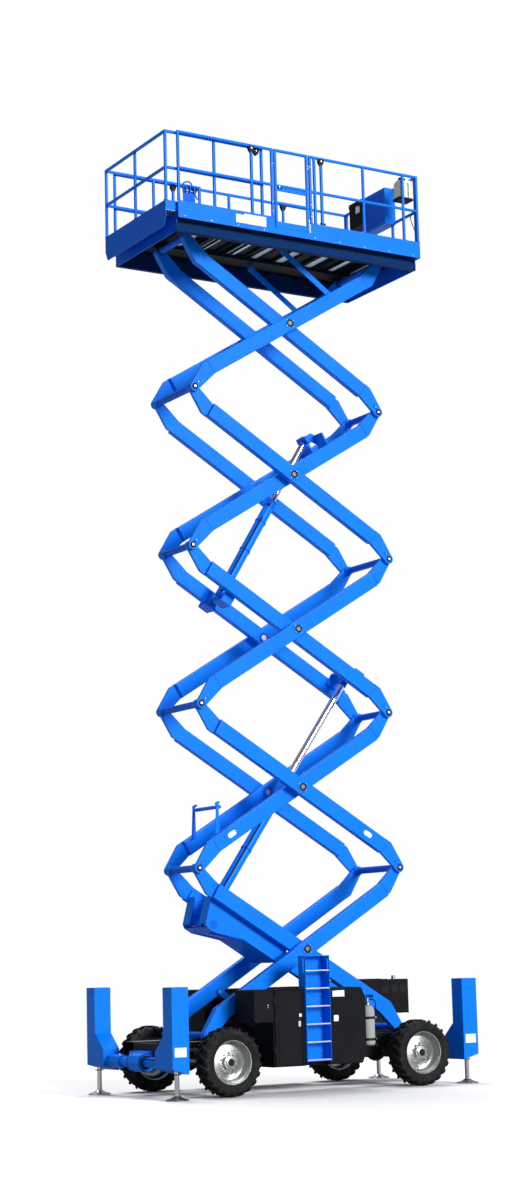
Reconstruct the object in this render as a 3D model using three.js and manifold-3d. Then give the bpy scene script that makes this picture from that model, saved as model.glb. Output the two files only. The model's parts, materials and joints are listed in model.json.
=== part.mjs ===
// Rough-terrain scissor lift, raised, standing on its four wheels and four outrigger feet.
// Millimetres, +Z up, +X towards the rear, -X towards the steered front end.
// The origin is on the floor, under the middle of the machine.
import * as THREE from 'three';
import { mergeVertices } from 'three/addons/utils/BufferGeometryUtils.js';
import Module from 'manifold-3d';

const wasm = await Module();
wasm.setup();

// ---------------------------------------------------------------- driving dimensions
const REST_ANGLE = THREE.MathUtils.degToRad(35); // slope of the line through an arm's two end pins
const STACK_X = 50; // middle of the scissor stack
const ARM_REACH = 1808; // from an arm's middle to its end pin, along the tube
const PIN_RISE = 117; // from the tube's axis to the end pin, half the folded pitch
const ARM_DEPTH = 200;
const ARM_WIDTH = 100;
const ARM_WALL = 8;
const OUTER_ARM_Y = 505; // middle of an outer arm's width
const INNER_ARM_Y = 370;
const BOSS_RADIUS = 65;
const ELBOW_PIN_RADIUS = 25;
const CROSS_TUBE_RADIUS = 45;
const CENTRE_PIN_RADIUS = 40;
const LAP_GAP = 6; // between the two lapped end plates of an elbow
const END_PLATE = 358; // from an end pin back to where the arm's full tube stops
const SLIDER_HALF_HEIGHT = 66; // from a sliding pin down to what it slides on

const WHEELBASE = 2840;
const TYRE_RADIUS = 420;
const TYRE_WIDTH = 290;
const RIM_RADIUS = 270;
const MACHINE_HALF_WIDTH = 1145;
const KINGPIN_Y = 700;
const STEER_ARM = 200;

const BEAM_ABOVE_HUB = 80; // from a wheel's middle up to the chassis beams
const BEAM_DEPTH = 165.5;
const BEAM_INNER_Y = 310;
const BEAM_OUTER_Y = 590;
const CHASSIS_HALF_LENGTH = 2030;

const LEG_X = 2155;
const COLUMN_LENGTH = 230; // along X
const COLUMN_WIDTH = 230; // along Y
const COLUMN_BOTTOM_Z = 305;
const COLUMN_TOP_Z = 1345;
const COLUMN_WALL = 8;
const JACK_ROD_RADIUS = 30;
const FOOT_RADIUS = 145;

const CYLINDER_RADIUS = 75;
const CYLINDER_BORE = 46;
const CYLINDER_ROD = 45;
const CYLINDER_LUG = 80; // half the width of the lug and the eye
const CYLINDER_EYE = 58;
const CYLINDER_PIN = 30;

const DECK_ABOVE_PIN = 137; // from the top sliding pins to the deck's surface
const DECK_FRONT_X = -1833;
const DECK_REAR_X = 1989;
const DECK_HALF_WIDTH = 915;
const TOE_BOARD_HEIGHT = 141;
const RAIL_HEIGHT = 1100;
const MID_RAIL_HEIGHT = 590;
const RAIL_TUBE = 38; // side of the square guard rail tubes
const GATE_FRONT_X = -365;
const GATE_REAR_X = 200;

const EXTENSION_FRONT_X = -1991;
const EXTENSION_HALF_WIDTH = 858;
const EXTENSION_LENGTH = 1500;

const SEAT_GAP = 0.3; // between pieces that touch
const RUNNING_GAP = 0.5; // between a turning hub and its flange
const BORE_GAP = 1.5; // from a pin's corners to the corners of its hole
const SLIDE_GAP = 0.9; // the same where the two only slide and their faces stay parallel

// ---------------------------------------------------------------- derived sizes
const TUBE_END = ARM_REACH - END_PLATE;
const BEAM_BOTTOM_Z = TYRE_RADIUS + BEAM_ABOVE_HUB;
const BEAM_TOP_Z = BEAM_BOTTOM_Z + BEAM_DEPTH;
const SLIDE_PIN_Z = BEAM_TOP_Z + RUNNING_GAP + SLIDER_HALF_HEIGHT;
const HALF_PIN_LINE = Math.hypot(ARM_REACH, PIN_RISE);
const TUBE_LEAN = Math.atan2(PIN_RISE, ARM_REACH); // from the pin line down to the tube's axis
const HALF_RUN = HALF_PIN_LINE * Math.cos(REST_ANGLE);
const HALF_RISE = HALF_PIN_LINE * Math.sin(REST_ANGLE);
const TOP_PIN_Z = SLIDE_PIN_Z + 10 * HALF_RISE;
const DECK_Z = TOP_PIN_Z + DECK_ABOVE_PIN;
const WHEEL_Y = MACHINE_HALF_WIDTH - TYRE_WIDTH / 2;
const LEG_Y = MACHINE_HALF_WIDTH - COLUMN_WIDTH / 2;

// ---------------------------------------------------------------- materials
function paint(color, roughness, metalness = 0) {
  return new THREE.MeshStandardMaterial({ color, roughness, metalness });
}
const blue = paint(0x0c86f0, 0.4);
const darkBlue = paint(0x0b3f94, 0.5);
const black = paint(0x17181a, 0.6);
const rubber = paint(0x1b1b1b, 0.9);
const silver = paint(0xb9bdc0, 0.35, 0.8);
const chrome = paint(0xdadada, 0.12, 1);
const grey = paint(0x9a9c98, 0.5, 0.3);
const cream = paint(0xe9e4d2, 0.5);

// ---------------------------------------------------------------- shape helpers
const X = new THREE.Vector3(1, 0, 0);
const Y = new THREE.Vector3(0, 1, 0);
const Z = new THREE.Vector3(0, 0, 1);
const MINUS_Y = new THREE.Vector3(0, -1, 0);
const PIN_SIDES = 8;
const BORE_SIDES = 12;

function toSolid(geometry) {
  const bare = geometry.clone();
  bare.deleteAttribute('normal');
  bare.deleteAttribute('uv');
  const merged = mergeVertices(bare, 1e-3);
  return new wasm.Manifold(new wasm.Mesh({
    numProp: 3,
    vertProperties: Float32Array.from(merged.attributes.position.array),
    triVerts: Uint32Array.from(merged.index.array),
  }));
}

function toGeometry(solid) {
  const mesh = solid.getMesh();
  const geometry = new THREE.BufferGeometry();
  geometry.setAttribute('position', new THREE.BufferAttribute(mesh.vertProperties, 3));
  geometry.setIndex(new THREE.BufferAttribute(mesh.triVerts, 1));
  geometry.computeVertexNormals();
  return geometry;
}

function join(...solids) {
  return solids.flat().reduce((whole, piece) => whole.add(piece));
}

function cut(whole, ...tools) {
  return tools.flat().reduce((rest, tool) => rest.subtract(tool), whole);
}

function box(x, y, z) {
  const geometry = new THREE.BoxGeometry(x[1] - x[0], y[1] - y[0], z[1] - z[0]);
  geometry.translate((x[0] + x[1]) / 2, (y[0] + y[1]) / 2, (z[0] + z[1]) / 2);
  return toSolid(geometry);
}

// the two values in rising order, so that a span can be written from the middle outwards
function span(a, b) {
  return [Math.min(a, b), Math.max(a, b)];
}

// a span of Y on one side of the machine: side is -1 near, +1 far
function onSide(side, inner, outer) {
  return span(side * inner, side * outer);
}

function polygon(points) {
  return new THREE.Shape(points.map(([a, b]) => new THREE.Vector2(a, b)));
}

function extrude(shape, from, to, basis, curveSegments = 4) {
  const geometry = new THREE.ExtrudeGeometry(shape, {
    depth: to - from, bevelEnabled: false, curveSegments,
  });
  geometry.translate(0, 0, from);
  geometry.applyMatrix4(new THREE.Matrix4().makeBasis(...basis));
  return geometry;
}

// outlines in (x, z), thickness along Y
function plateY(shape, y, curveSegments) {
  return toSolid(extrude(shape, -y[1], -y[0], [X, Z, MINUS_Y], curveSegments));
}

// outlines in (y, z), thickness along X
function plateX(shape, x, curveSegments) {
  return toSolid(extrude(shape, x[0], x[1], [Y, Z, X], curveSegments));
}

// outlines in (x, y), thickness along Z
function plateZ(shape, z, curveSegments) {
  return toSolid(extrude(shape, z[0], z[1], [X, Y, Z], curveSegments));
}

function rodY(radius, x, z, y, sides = PIN_SIDES) {
  const geometry = new THREE.CylinderGeometry(radius, radius, y[1] - y[0], sides);
  geometry.translate(x, (y[0] + y[1]) / 2, z);
  return toSolid(geometry);
}

function rodZ(radius, x, y, z, sides = PIN_SIDES) {
  const geometry = new THREE.CylinderGeometry(radius, radius, z[1] - z[0], sides);
  geometry.rotateX(Math.PI / 2);
  geometry.translate(x, y, (z[0] + z[1]) / 2);
  return toSolid(geometry);
}

function rodX(radius, y, z, x, sides = PIN_SIDES) {
  const geometry = new THREE.CylinderGeometry(radius, radius, x[1] - x[0], sides);
  geometry.rotateZ(-Math.PI / 2);
  geometry.translate((x[0] + x[1]) / 2, y, z);
  return toSolid(geometry);
}

// a ring or disc turned about Y from (radius, along) pairs that close on themselves
function turnedY(profile, segments) {
  const points = profile.map(([radius, along]) => new THREE.Vector2(radius, along));
  points.push(points[0].clone());
  return toSolid(new THREE.LatheGeometry(points, segments));
}

const machine = new THREE.Group();

function place(parent, name, material, solid) {
  const mesh = new THREE.Mesh(toGeometry(solid), material);
  mesh.name = name;
  parent.add(mesh);
  return mesh;
}

// ---------------------------------------------------------------- scissor arms
// A frame's local X runs along its tubes and local Z across them, with the middle pin at 0, 0.
// rise is +1 for a frame whose top end is at the rear (+X) and -1 for one whose top end is at
// the front. Every frame is two arms, one on each side, with a cross tube at the top end.
const END_ROOT = TUBE_END - 150; // where an end plate starts inside its tube
const BACK_CORNER = ARM_REACH - 278;
const FRONT_CORNER = ARM_REACH - 468;
const BOSS_STEPS = 4;
const ELBOW_HEAD = 14; // how far a pin's head stands out of the arm
const CENTRE_HEAD = 12;
const BORE_DEPTH = 60;

// the angle on the boss where the straight edge from a corner touches it
function tangentAngle(corner, pin, turn) {
  const dx = corner[0] - pin[0];
  const dz = corner[1] - pin[1];
  return Math.atan2(dz, dx) + turn * Math.acos(BOSS_RADIUS / Math.hypot(dx, dz));
}

// an arm's end plate, from inside the tube to the round boss at the pin;
// end is +1 at the top end and -1 at the bottom end
function endOutline(rise, end) {
  const half = ARM_DEPTH / 2;
  const pin = [ARM_REACH, PIN_RISE];
  const from = tangentAngle([BACK_CORNER, -half], pin, 1);
  const to = tangentAngle([FRONT_CORNER, half], pin, -1);
  const sweep = (to - from + 2 * Math.PI) % (2 * Math.PI);
  const points = [[END_ROOT, -half], [BACK_CORNER, -half]];
  for (let i = 0; i <= BOSS_STEPS; i += 1) {
    const angle = from + (sweep * i) / BOSS_STEPS;
    points.push([pin[0] + BOSS_RADIUS * Math.cos(angle), pin[1] + BOSS_RADIUS * Math.sin(angle)]);
  }
  points.push([FRONT_CORNER, half], [END_ROOT, half]);
  return polygon(points.map(([u, v]) => [rise * end * u, end * v]));
}

// the Y span of the inner or the outer half of an arm: the two arms of an elbow lap there
function lap(side, armY, half) {
  return half === 'inner'
    ? onSide(side, armY - ARM_WIDTH / 2, armY - LAP_GAP / 2)
    : onSide(side, armY + LAP_GAP / 2, armY + ARM_WIDTH / 2);
}

function arm(rise, side, armY, topSlides, bottomSlides) {
  const half = ARM_DEPTH / 2;
  const y = onSide(side, armY - ARM_WIDTH / 2, armY + ARM_WIDTH / 2);
  const inside = onSide(side, armY - ARM_WIDTH / 2 + ARM_WALL, armY + ARM_WIDTH / 2 - ARM_WALL);
  const hollowEnd = END_ROOT - ARM_WALL;
  const tube = box([-TUBE_END, TUBE_END], y, [-half, half]);
  const hollow = box([-hollowEnd, hollowEnd], inside, [ARM_WALL - half, half - ARM_WALL]);
  const top = plateY(endOutline(rise, 1), topSlides ? y : lap(side, armY, 'inner'));
  const bottom = plateY(endOutline(rise, -1), bottomSlides ? y : lap(side, armY, 'outer'));
  return cut(join(tube, top, bottom), hollow);
}

// a point given along and across the line through the end pins, in the frame's local X and Z
function fromPinLine(rise, [along, across]) {
  const lean = rise * TUBE_LEAN;
  return [
    along * Math.cos(lean) - across * Math.sin(lean),
    along * Math.sin(lean) + across * Math.cos(lean),
  ];
}

function scissorFrame(level, rise) {
  const outer = (rise > 0) === (level % 2 === 1);
  const armY = outer ? OUTER_ARM_Y : INNER_ARM_Y;
  const innerFace = armY - ARM_WIDTH / 2;
  const outerFace = armY + ARM_WIDTH / 2;
  const topSlides = level === 5;
  const bottomSlides = level === 1;
  const topPin = [rise * ARM_REACH, PIN_RISE];
  const bottomPin = [-rise * ARM_REACH, -PIN_RISE];
  const across = [-innerFace - ARM_WALL, innerFace + ARM_WALL];
  let solid = rodY(CROSS_TUBE_RADIUS, ...topPin, across);
  if (bottomSlides) {
    solid = join(solid, rodY(CROSS_TUBE_RADIUS, ...bottomPin, across));
  }
  for (const side of [-1, 1]) {
    solid = join(solid, arm(rise, side, armY, topSlides, bottomSlides));
    if (!topSlides) {
      const bore = onSide(side, innerFace - BORE_DEPTH, outerFace);
      solid = cut(solid, rodY(ELBOW_PIN_RADIUS + BORE_GAP, ...topPin, bore, BORE_SIDES));
    }
    if (!bottomSlides) {
      const pin = onSide(side, innerFace - BORE_DEPTH / 2, outerFace + ELBOW_HEAD);
      solid = join(solid, rodY(ELBOW_PIN_RADIUS, ...bottomPin, pin));
    }
    if (outer) {
      const pin = onSide(side, INNER_ARM_Y - ARM_WIDTH / 2, outerFace + CENTRE_HEAD);
      const drain = onSide(side, innerFace - 1, armY);
      solid = cut(join(solid, rodY(CENTRE_PIN_RADIUS, 0, 0, pin)), rodY(20, 300, 0, drain));
    } else {
      const bore = onSide(side, innerFace - 1, outerFace + 1);
      solid = cut(solid, rodY(CENTRE_PIN_RADIUS + BORE_GAP, 0, 0, bore, BORE_SIDES));
    }
  }
  return solid;
}

// ---------------------------------------------------------------- cylinder mounts
const EAR_INNER_Y = Math.max(CYLINDER_LUG, CYLINDER_RADIUS) + 8;
const EAR_OUTER_Y = EAR_INNER_Y + 26;
const CRADLE_Y = [INNER_ARM_Y - ARM_WIDTH / 2 - 34, INNER_ARM_Y - ARM_WIDTH / 2 - 14];
const ARM_INSIDE_Y = INNER_ARM_Y - ARM_WIDTH / 2 + ARM_WALL / 2;
// along and across the pin line of the frame that carries them
const ARM_CLEAR_Y = INNER_ARM_Y - ARM_WIDTH / 2 - 6; // inside the arms that fold past
const EAR_HANGER = [CYLINDER_EYE + 12, CYLINDER_EYE + 40];
const CRADLE_BELOW_PIN = 75;
const CRADLE_SHALLOW_Z = -300;
const CRADLE_REACH = [-760, -130]; // along the arm: where the shallow part starts and ends
const HOSE_GUIDE_X = [120 - TUBE_END, 370 - TUBE_END];
const HOSE_GUIDE_TOP = 430;
const LOWER_BASE = [-1200, -440];
const LOWER_EYE = [1200, 150];
const UPPER_BASE = [-970, -187];
const UPPER_EYE = [809, 209];

// a trough hanging between the two inner arms, deep round the base pin and shallow behind it
function lowerCradle() {
  const [x, z] = fromPinLine(-1, LOWER_BASE);
  const deepZ = z - CRADLE_BELOW_PIN;
  const [shallowX, rearX] = CRADLE_REACH;
  const wall = polygon([
    [x - 210, -60], [rearX, -60], [rearX, CRADLE_SHALLOW_Z + 30], [rearX - 40, CRADLE_SHALLOW_Z],
    [shallowX, CRADLE_SHALLOW_Z], [x + 60, deepZ], [x - 60, deepZ], [x - 110, z - 40],
  ]);
  const solids = [
    rodY(CYLINDER_PIN, x, z, [-CRADLE_Y[1], CRADLE_Y[1]]),
    box([x - 60, x + 60], [-CRADLE_Y[1], CRADLE_Y[1]], [deepZ, deepZ + 12]),
    box([shallowX, rearX - 40], [-CRADLE_Y[1], CRADLE_Y[1]], [CRADLE_SHALLOW_Z, CRADLE_SHALLOW_Z + 12]),
  ];
  for (const side of [-1, 1]) {
    solids.push(plateY(wall, onSide(side, ...CRADLE_Y)));
    solids.push(box([x - 210, rearX], onSide(side, CRADLE_Y[0], ARM_INSIDE_Y), [-70, 50]));
  }
  return join(solids);
}

// an ear on each side of a cylinder's eye, on a hanger that reaches in from the arm; the middle
// stays open, because the cylinder swings between the ears
function earPair(x, earZ, hangerZ) {
  const rootX = [x - 80, x + 80];
  const throughZ = span(0, hangerZ[0] < 0 ? hangerZ[0] : hangerZ[1]);
  const armZ = span(0, Math.sign(hangerZ[0]) * (ARM_DEPTH / 2 - 20));
  return [-1, 1].flatMap((side) => [
    box([x - 60, x + 60], onSide(side, EAR_INNER_Y, EAR_OUTER_Y), earZ),
    box(rootX, onSide(side, EAR_INNER_Y, ARM_CLEAR_Y), hangerZ),
    box(rootX, onSide(side, ARM_CLEAR_Y - 30, ARM_CLEAR_Y), throughZ),
    box(rootX, onSide(side, ARM_CLEAR_Y - 1, ARM_INSIDE_Y), armZ),
  ]);
}

// the hanger lies over the rod's eye; the eye has no pin of its own
function lowerEyeEars() {
  const [x, z] = fromPinLine(-1, LOWER_EYE);
  return join(earPair(x, [z - 50, z + EAR_HANGER[1]], [z + EAR_HANGER[0], z + EAR_HANGER[1]]));
}

// the hanger lies under the base pin
function upperBaseEars() {
  const [x, z] = fromPinLine(-1, UPPER_BASE);
  return join(
    rodY(CYLINDER_PIN, x, z, [-EAR_OUTER_Y, EAR_OUTER_Y]),
    earPair(x, [z - EAR_HANGER[1], z + 50], [z - EAR_HANGER[1], z - EAR_HANGER[0]]),
  );
}

// the ears stand on a bracket behind the rod's eye
function upperEyeEars() {
  const [x, z] = fromPinLine(1, UPPER_EYE);
  const behind = [x + CYLINDER_EYE + 16, x + CYLINDER_EYE + 40];
  const ear = polygon([
    [x - 60, z - 30], [x - 60, z + 60], [x + 60, z + 60], [behind[1], z + 10], [behind[1], z - 160], [x + 20, z - 60],
  ]);
  return join([-1, 1].flatMap((side) => [
    plateY(ear, onSide(side, EAR_INNER_Y, EAR_OUTER_Y)),
    box(behind, onSide(side, EAR_INNER_Y, ARM_CLEAR_Y), [20 - ARM_DEPTH / 2, z + 10]),
    box(behind, onSide(side, ARM_CLEAR_Y - 1, ARM_INSIDE_Y), [20 - ARM_DEPTH / 2, ARM_DEPTH / 2 - 20]),
  ]));
}

// an upright frame that guides the hoses over the lowest front elbow
function hoseGuide() {
  const [footX, topX] = HOSE_GUIDE_X;
  const footZ = ARM_DEPTH / 2 - 40;
  const leg = polygon([
    [footX - 25, footZ], [footX + 55, footZ], [topX + 20, HOSE_GUIDE_TOP], [topX - 20, HOSE_GUIDE_TOP],
  ]);
  return join(
    [-1, 1].flatMap((side) => [
      plateY(leg, onSide(side, ARM_CLEAR_Y - 30, ARM_CLEAR_Y)),
      box([footX - 20, footX + 50], onSide(side, ARM_CLEAR_Y - 1, ARM_INSIDE_Y), [footZ, ARM_DEPTH / 2 - 5]),
    ]),
    box([topX - 20, topX + 20], [-ARM_CLEAR_Y + 1, ARM_CLEAR_Y - 1], [HOSE_GUIDE_TOP - 90, HOSE_GUIDE_TOP - 50]),
  );
}

// the pin on an outer frame that a centring link turns on, halfway to an end pin
function linkPins(rise, end) {
  const reach = [LINK_Y[0], OUTER_ARM_Y - ARM_WIDTH / 2 + ARM_WALL];
  const x = (rise * end * ARM_REACH) / 2;
  const z = (end * PIN_RISE) / 2;
  return [-1, 1].map((side) => rodY(LINK_PIN_RADIUS, x, z, onSide(side, ...reach)));
}

// ---------------------------------------------------------------- centring links
// A link half as long as half an arm holds the stack in the middle of the chassis and of the
// platform, while both ends of the lowest and of the highest arms slide.
const LINK_PIN_RADIUS = 20;
const LINK_BOSS = 40;
const LINK_GAP = [INNER_ARM_Y + ARM_WIDTH / 2, OUTER_ARM_Y - ARM_WIDTH / 2];
const LINK_Y = [LINK_GAP[0] + 5, LINK_GAP[0] + 16];
const EAR_Y = [LINK_GAP[1] - 15, LINK_GAP[1] - 5];
const LINK_LENGTH = HALF_PIN_LINE / 2;

function centringLink(side) {
  const y = onSide(side, ...LINK_Y);
  const half = LINK_LENGTH / 2;
  const bar = box([-half, half], y, [-LINK_BOSS, LINK_BOSS]);
  const ends = [-half, half].map((x) => rodY(LINK_BOSS, x, 0, y));
  const bores = [-half, half].map((x) => (
    rodY(LINK_PIN_RADIUS + BORE_GAP, x, 0, [y[0] - 1, y[1] + 1], BORE_SIDES)
  ));
  return cut(join(bar, ends), bores);
}

// the ear and pin that a centring link turns on, on the chassis or under the platform
function linkEar(side, pinZ, footZ) {
  const z = span(footZ, pinZ);
  return join(
    box([STACK_X - LINK_BOSS, STACK_X + LINK_BOSS], onSide(side, ...EAR_Y), z),
    rodY(LINK_BOSS - 10, STACK_X, pinZ, onSide(side, ...EAR_Y)),
    rodY(LINK_PIN_RADIUS, STACK_X, pinZ, onSide(side, LINK_Y[0], EAR_Y[1])),
  );
}

// ---------------------------------------------------------------- the stack, placed
function levelZ(level) {
  return SLIDE_PIN_Z + HALF_RISE * (2 * level - 1);
}

function placeFrames() {
  const extras = {
    rear_rising_frame_1: () => linkPins(1, -1),
    front_rising_frame_1: () => [lowerCradle()],
    rear_rising_frame_2: () => [hoseGuide()],
    front_rising_frame_3: () => [lowerEyeEars(), upperBaseEars()],
    rear_rising_frame_4: () => [upperEyeEars()],
    rear_rising_frame_5: () => linkPins(1, 1),
  };
  for (let level = 1; level <= 5; level += 1) {
    for (const rise of [1, -1]) {
      const name = `${rise > 0 ? 'rear' : 'front'}_rising_frame_${level}`;
      const added = extras[name] ? extras[name]() : [];
      const mesh = place(machine, name, blue, join(scissorFrame(level, rise), added));
      mesh.position.set(STACK_X, 0, levelZ(level));
      mesh.rotation.y = -rise * (REST_ANGLE - TUBE_LEAN);
    }
  }
}

function placeLinks() {
  const spots = { chassis_link: levelZ(1) - HALF_RISE * 0.75, platform_link: levelZ(5) + HALF_RISE * 0.75 };
  const runs = { chassis_link: -HALF_RUN / 4, platform_link: HALF_RUN / 4 };
  for (const [name, z] of Object.entries(spots)) {
    for (const side of [-1, 1]) {
      const mesh = place(machine, `${side < 0 ? 'near' : 'far'}_${name}`, blue, centringLink(side));
      mesh.position.set(STACK_X + runs[name], 0, z);
      mesh.rotation.y = REST_ANGLE;
    }
  }
}

// ---------------------------------------------------------------- lift cylinders
function mountPoint(level, rise, [along, across]) {
  const cos = Math.cos(REST_ANGLE);
  const sin = rise * Math.sin(REST_ANGLE);
  return new THREE.Vector2(STACK_X + along * cos - across * sin, levelZ(level) + along * sin + across * cos);
}

// local X runs from the base pin to the rod's eye
function barrel(length) {
  const lug = rodY(CYLINDER_EYE, 0, 0, [-CYLINDER_LUG, CYLINDER_LUG]);
  const tube = rodX(CYLINDER_RADIUS, 0, 0, [CYLINDER_EYE - 10, length], 12);
  const port = box([length - 120, length - 60], [-20, 20], [CYLINDER_RADIUS - 10, CYLINDER_RADIUS + 20]);
  const bore = rodX(CYLINDER_BORE, 0, 0, [CYLINDER_EYE + 30, length + 1]);
  const pinBore = rodY(CYLINDER_PIN + BORE_GAP, 0, 0, [-CYLINDER_LUG - 1, CYLINDER_LUG + 1], BORE_SIDES);
  return cut(join(lug, tube, port), bore, pinBore);
}

function rod(length) {
  const eye = rodY(CYLINDER_EYE, 0, 0, [-CYLINDER_LUG, CYLINDER_LUG]);
  return join(eye, rodX(CYLINDER_ROD, 0, 0, [-length, -CYLINDER_EYE + 10]));
}

function placeCylinder(name, base, eye, barrelLength, rodLength) {
  const angle = Math.atan2(eye.y - base.y, eye.x - base.x);
  const pieces = [
    [`${name}_cylinder_barrel`, base, blue, barrel(barrelLength)],
    [`${name}_cylinder_rod`, eye, chrome, rod(rodLength)],
  ];
  for (const [node, at, finish, solid] of pieces) {
    const mesh = place(machine, node, finish, solid);
    mesh.position.set(at.x, 0, at.y);
    mesh.rotation.y = -angle;
  }
}

// ---------------------------------------------------------------- wheels and steering
const HUB_FACE = 120; // from the wheel's middle plane in to the hub's inner face

function tyre() {
  const half = TYRE_WIDTH / 2;
  const bead = RIM_RADIUS + SEAT_GAP;
  return turnedY([
    [bead, -half + 25], [TYRE_RADIUS - 40, -half], [TYRE_RADIUS, -half + 35],
    [TYRE_RADIUS, half - 35], [TYRE_RADIUS - 40, half], [bead, half - 25],
  ], 20);
}

// along is towards the outside of the machine
function rim() {
  const half = TYRE_WIDTH / 2 - 25;
  return turnedY([
    [0, -HUB_FACE], [90, -HUB_FACE], [90, 0], [RIM_RADIUS - 15, 0], [RIM_RADIUS - 15, -half],
    [RIM_RADIUS, -half], [RIM_RADIUS, half], [RIM_RADIUS - 15, half], [RIM_RADIUS - 25, 15],
    [90, 15], [90, 80], [0, 80],
  ], 20);
}

function placeWheels() {
  for (const [end, x] of [['front', -WHEELBASE / 2], ['rear', WHEELBASE / 2]]) {
    for (const side of [-1, 1]) {
      const corner = `${side < 0 ? 'near' : 'far'}_${end}`;
      for (const [piece, finish, make] of [['tyre', rubber, tyre], ['rim', silver, rim]]) {
        const mesh = place(machine, `${corner}_${piece}`, finish, make());
        mesh.position.set(x, side * WHEEL_Y, TYRE_RADIUS);
        mesh.rotation.z = side > 0 ? 0 : Math.PI;
      }
    }
  }
}

const AXLE_HALF_LENGTH = 60; // along X
const AXLE_BOTTOM_Z = TYRE_RADIUS - 60;
const FORK_Y = [600, 770];
const FORK_Z = [TYRE_RADIUS - 130, TYRE_RADIUS + 130];
const FORK_PLATE = 25;
const KNUCKLE_Z = [FORK_Z[0] + FORK_PLATE + SEAT_GAP, FORK_Z[1] - FORK_PLATE - SEAT_GAP];
const TIE_ROD_Z = TYRE_RADIUS + 15;

function steerAxle() {
  const x = [-AXLE_HALF_LENGTH, AXLE_HALF_LENGTH];
  const beam = box(x, [-FORK_Y[0] - 5, FORK_Y[0] + 5], [AXLE_BOTTOM_Z, BEAM_BOTTOM_Z - SEAT_GAP]);
  const forks = [-1, 1].map((side) => join(
    box(x, onSide(side, FORK_Y[0], FORK_Y[0] + FORK_PLATE), FORK_Z),
    box(x, onSide(side, ...FORK_Y), [FORK_Z[0], FORK_Z[0] + FORK_PLATE]),
    box(x, onSide(side, ...FORK_Y), [FORK_Z[1] - FORK_PLATE, FORK_Z[1]]),
  ));
  return join(beam, forks);
}

function rearAxle() {
  const x = [-AXLE_HALF_LENGTH, AXLE_HALF_LENGTH];
  const flange = WHEEL_Y - HUB_FACE - RUNNING_GAP;
  const beam = box(x, [-FORK_Y[1], FORK_Y[1]], [AXLE_BOTTOM_Z, BEAM_BOTTOM_Z - SEAT_GAP]);
  return join(beam, rodY(75, 0, TYRE_RADIUS, [-flange, flange]));
}

// the steering knuckle: kingpin block, spindle, and an arm forwards to the tie rod's pin
function knuckle(side) {
  const flange = WHEEL_Y - HUB_FACE - RUNNING_GAP;
  const armZ = [TIE_ROD_Z - 65, TIE_ROD_Z - 30];
  return join(
    rodZ(45, 0, side * KINGPIN_Y, KNUCKLE_Z),
    rodY(60, 0, TYRE_RADIUS, onSide(side, KINGPIN_Y, flange)),
    box([-STEER_ARM - 30, 0], [side * KINGPIN_Y - 25, side * KINGPIN_Y + 25], armZ),
    rodZ(12, -STEER_ARM, side * KINGPIN_Y, [armZ[0], TIE_ROD_Z + 22]),
  );
}

function tieRod() {
  const pins = [-1, 1].map((side) => [-STEER_ARM, side * KINGPIN_Y]);
  const z = [TIE_ROD_Z - 20, TIE_ROD_Z + 20];
  const bar = box([-STEER_ARM - 20, -STEER_ARM + 20], [-KINGPIN_Y, KINGPIN_Y], z);
  const eyes = pins.map(([x, y]) => rodZ(32, x, y, z));
  const bores = pins.map(([x, y]) => rodZ(12 + 1.2, x, y, [z[0] - 1, z[1] + 1], BORE_SIDES));
  return cut(join(bar, eyes), bores);
}

function placeAxles() {
  const front = [
    ['steer_axle', black, steerAxle()],
    ['near_knuckle', black, knuckle(-1)],
    ['far_knuckle', black, knuckle(1)],
    ['tie_rod', grey, tieRod()],
  ];
  for (const [name, finish, solid] of front) {
    place(machine, name, finish, solid).position.x = -WHEELBASE / 2;
  }
  place(machine, 'rear_axle', black, rearAxle()).position.x = WHEELBASE / 2;
}

// ---------------------------------------------------------------- chassis
const BEAM_WALL = 8;
const SKIRT_HALF_LENGTH = 1130;
const SKIRT_BOTTOM_Z = BEAM_BOTTOM_Z - 130;

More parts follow.
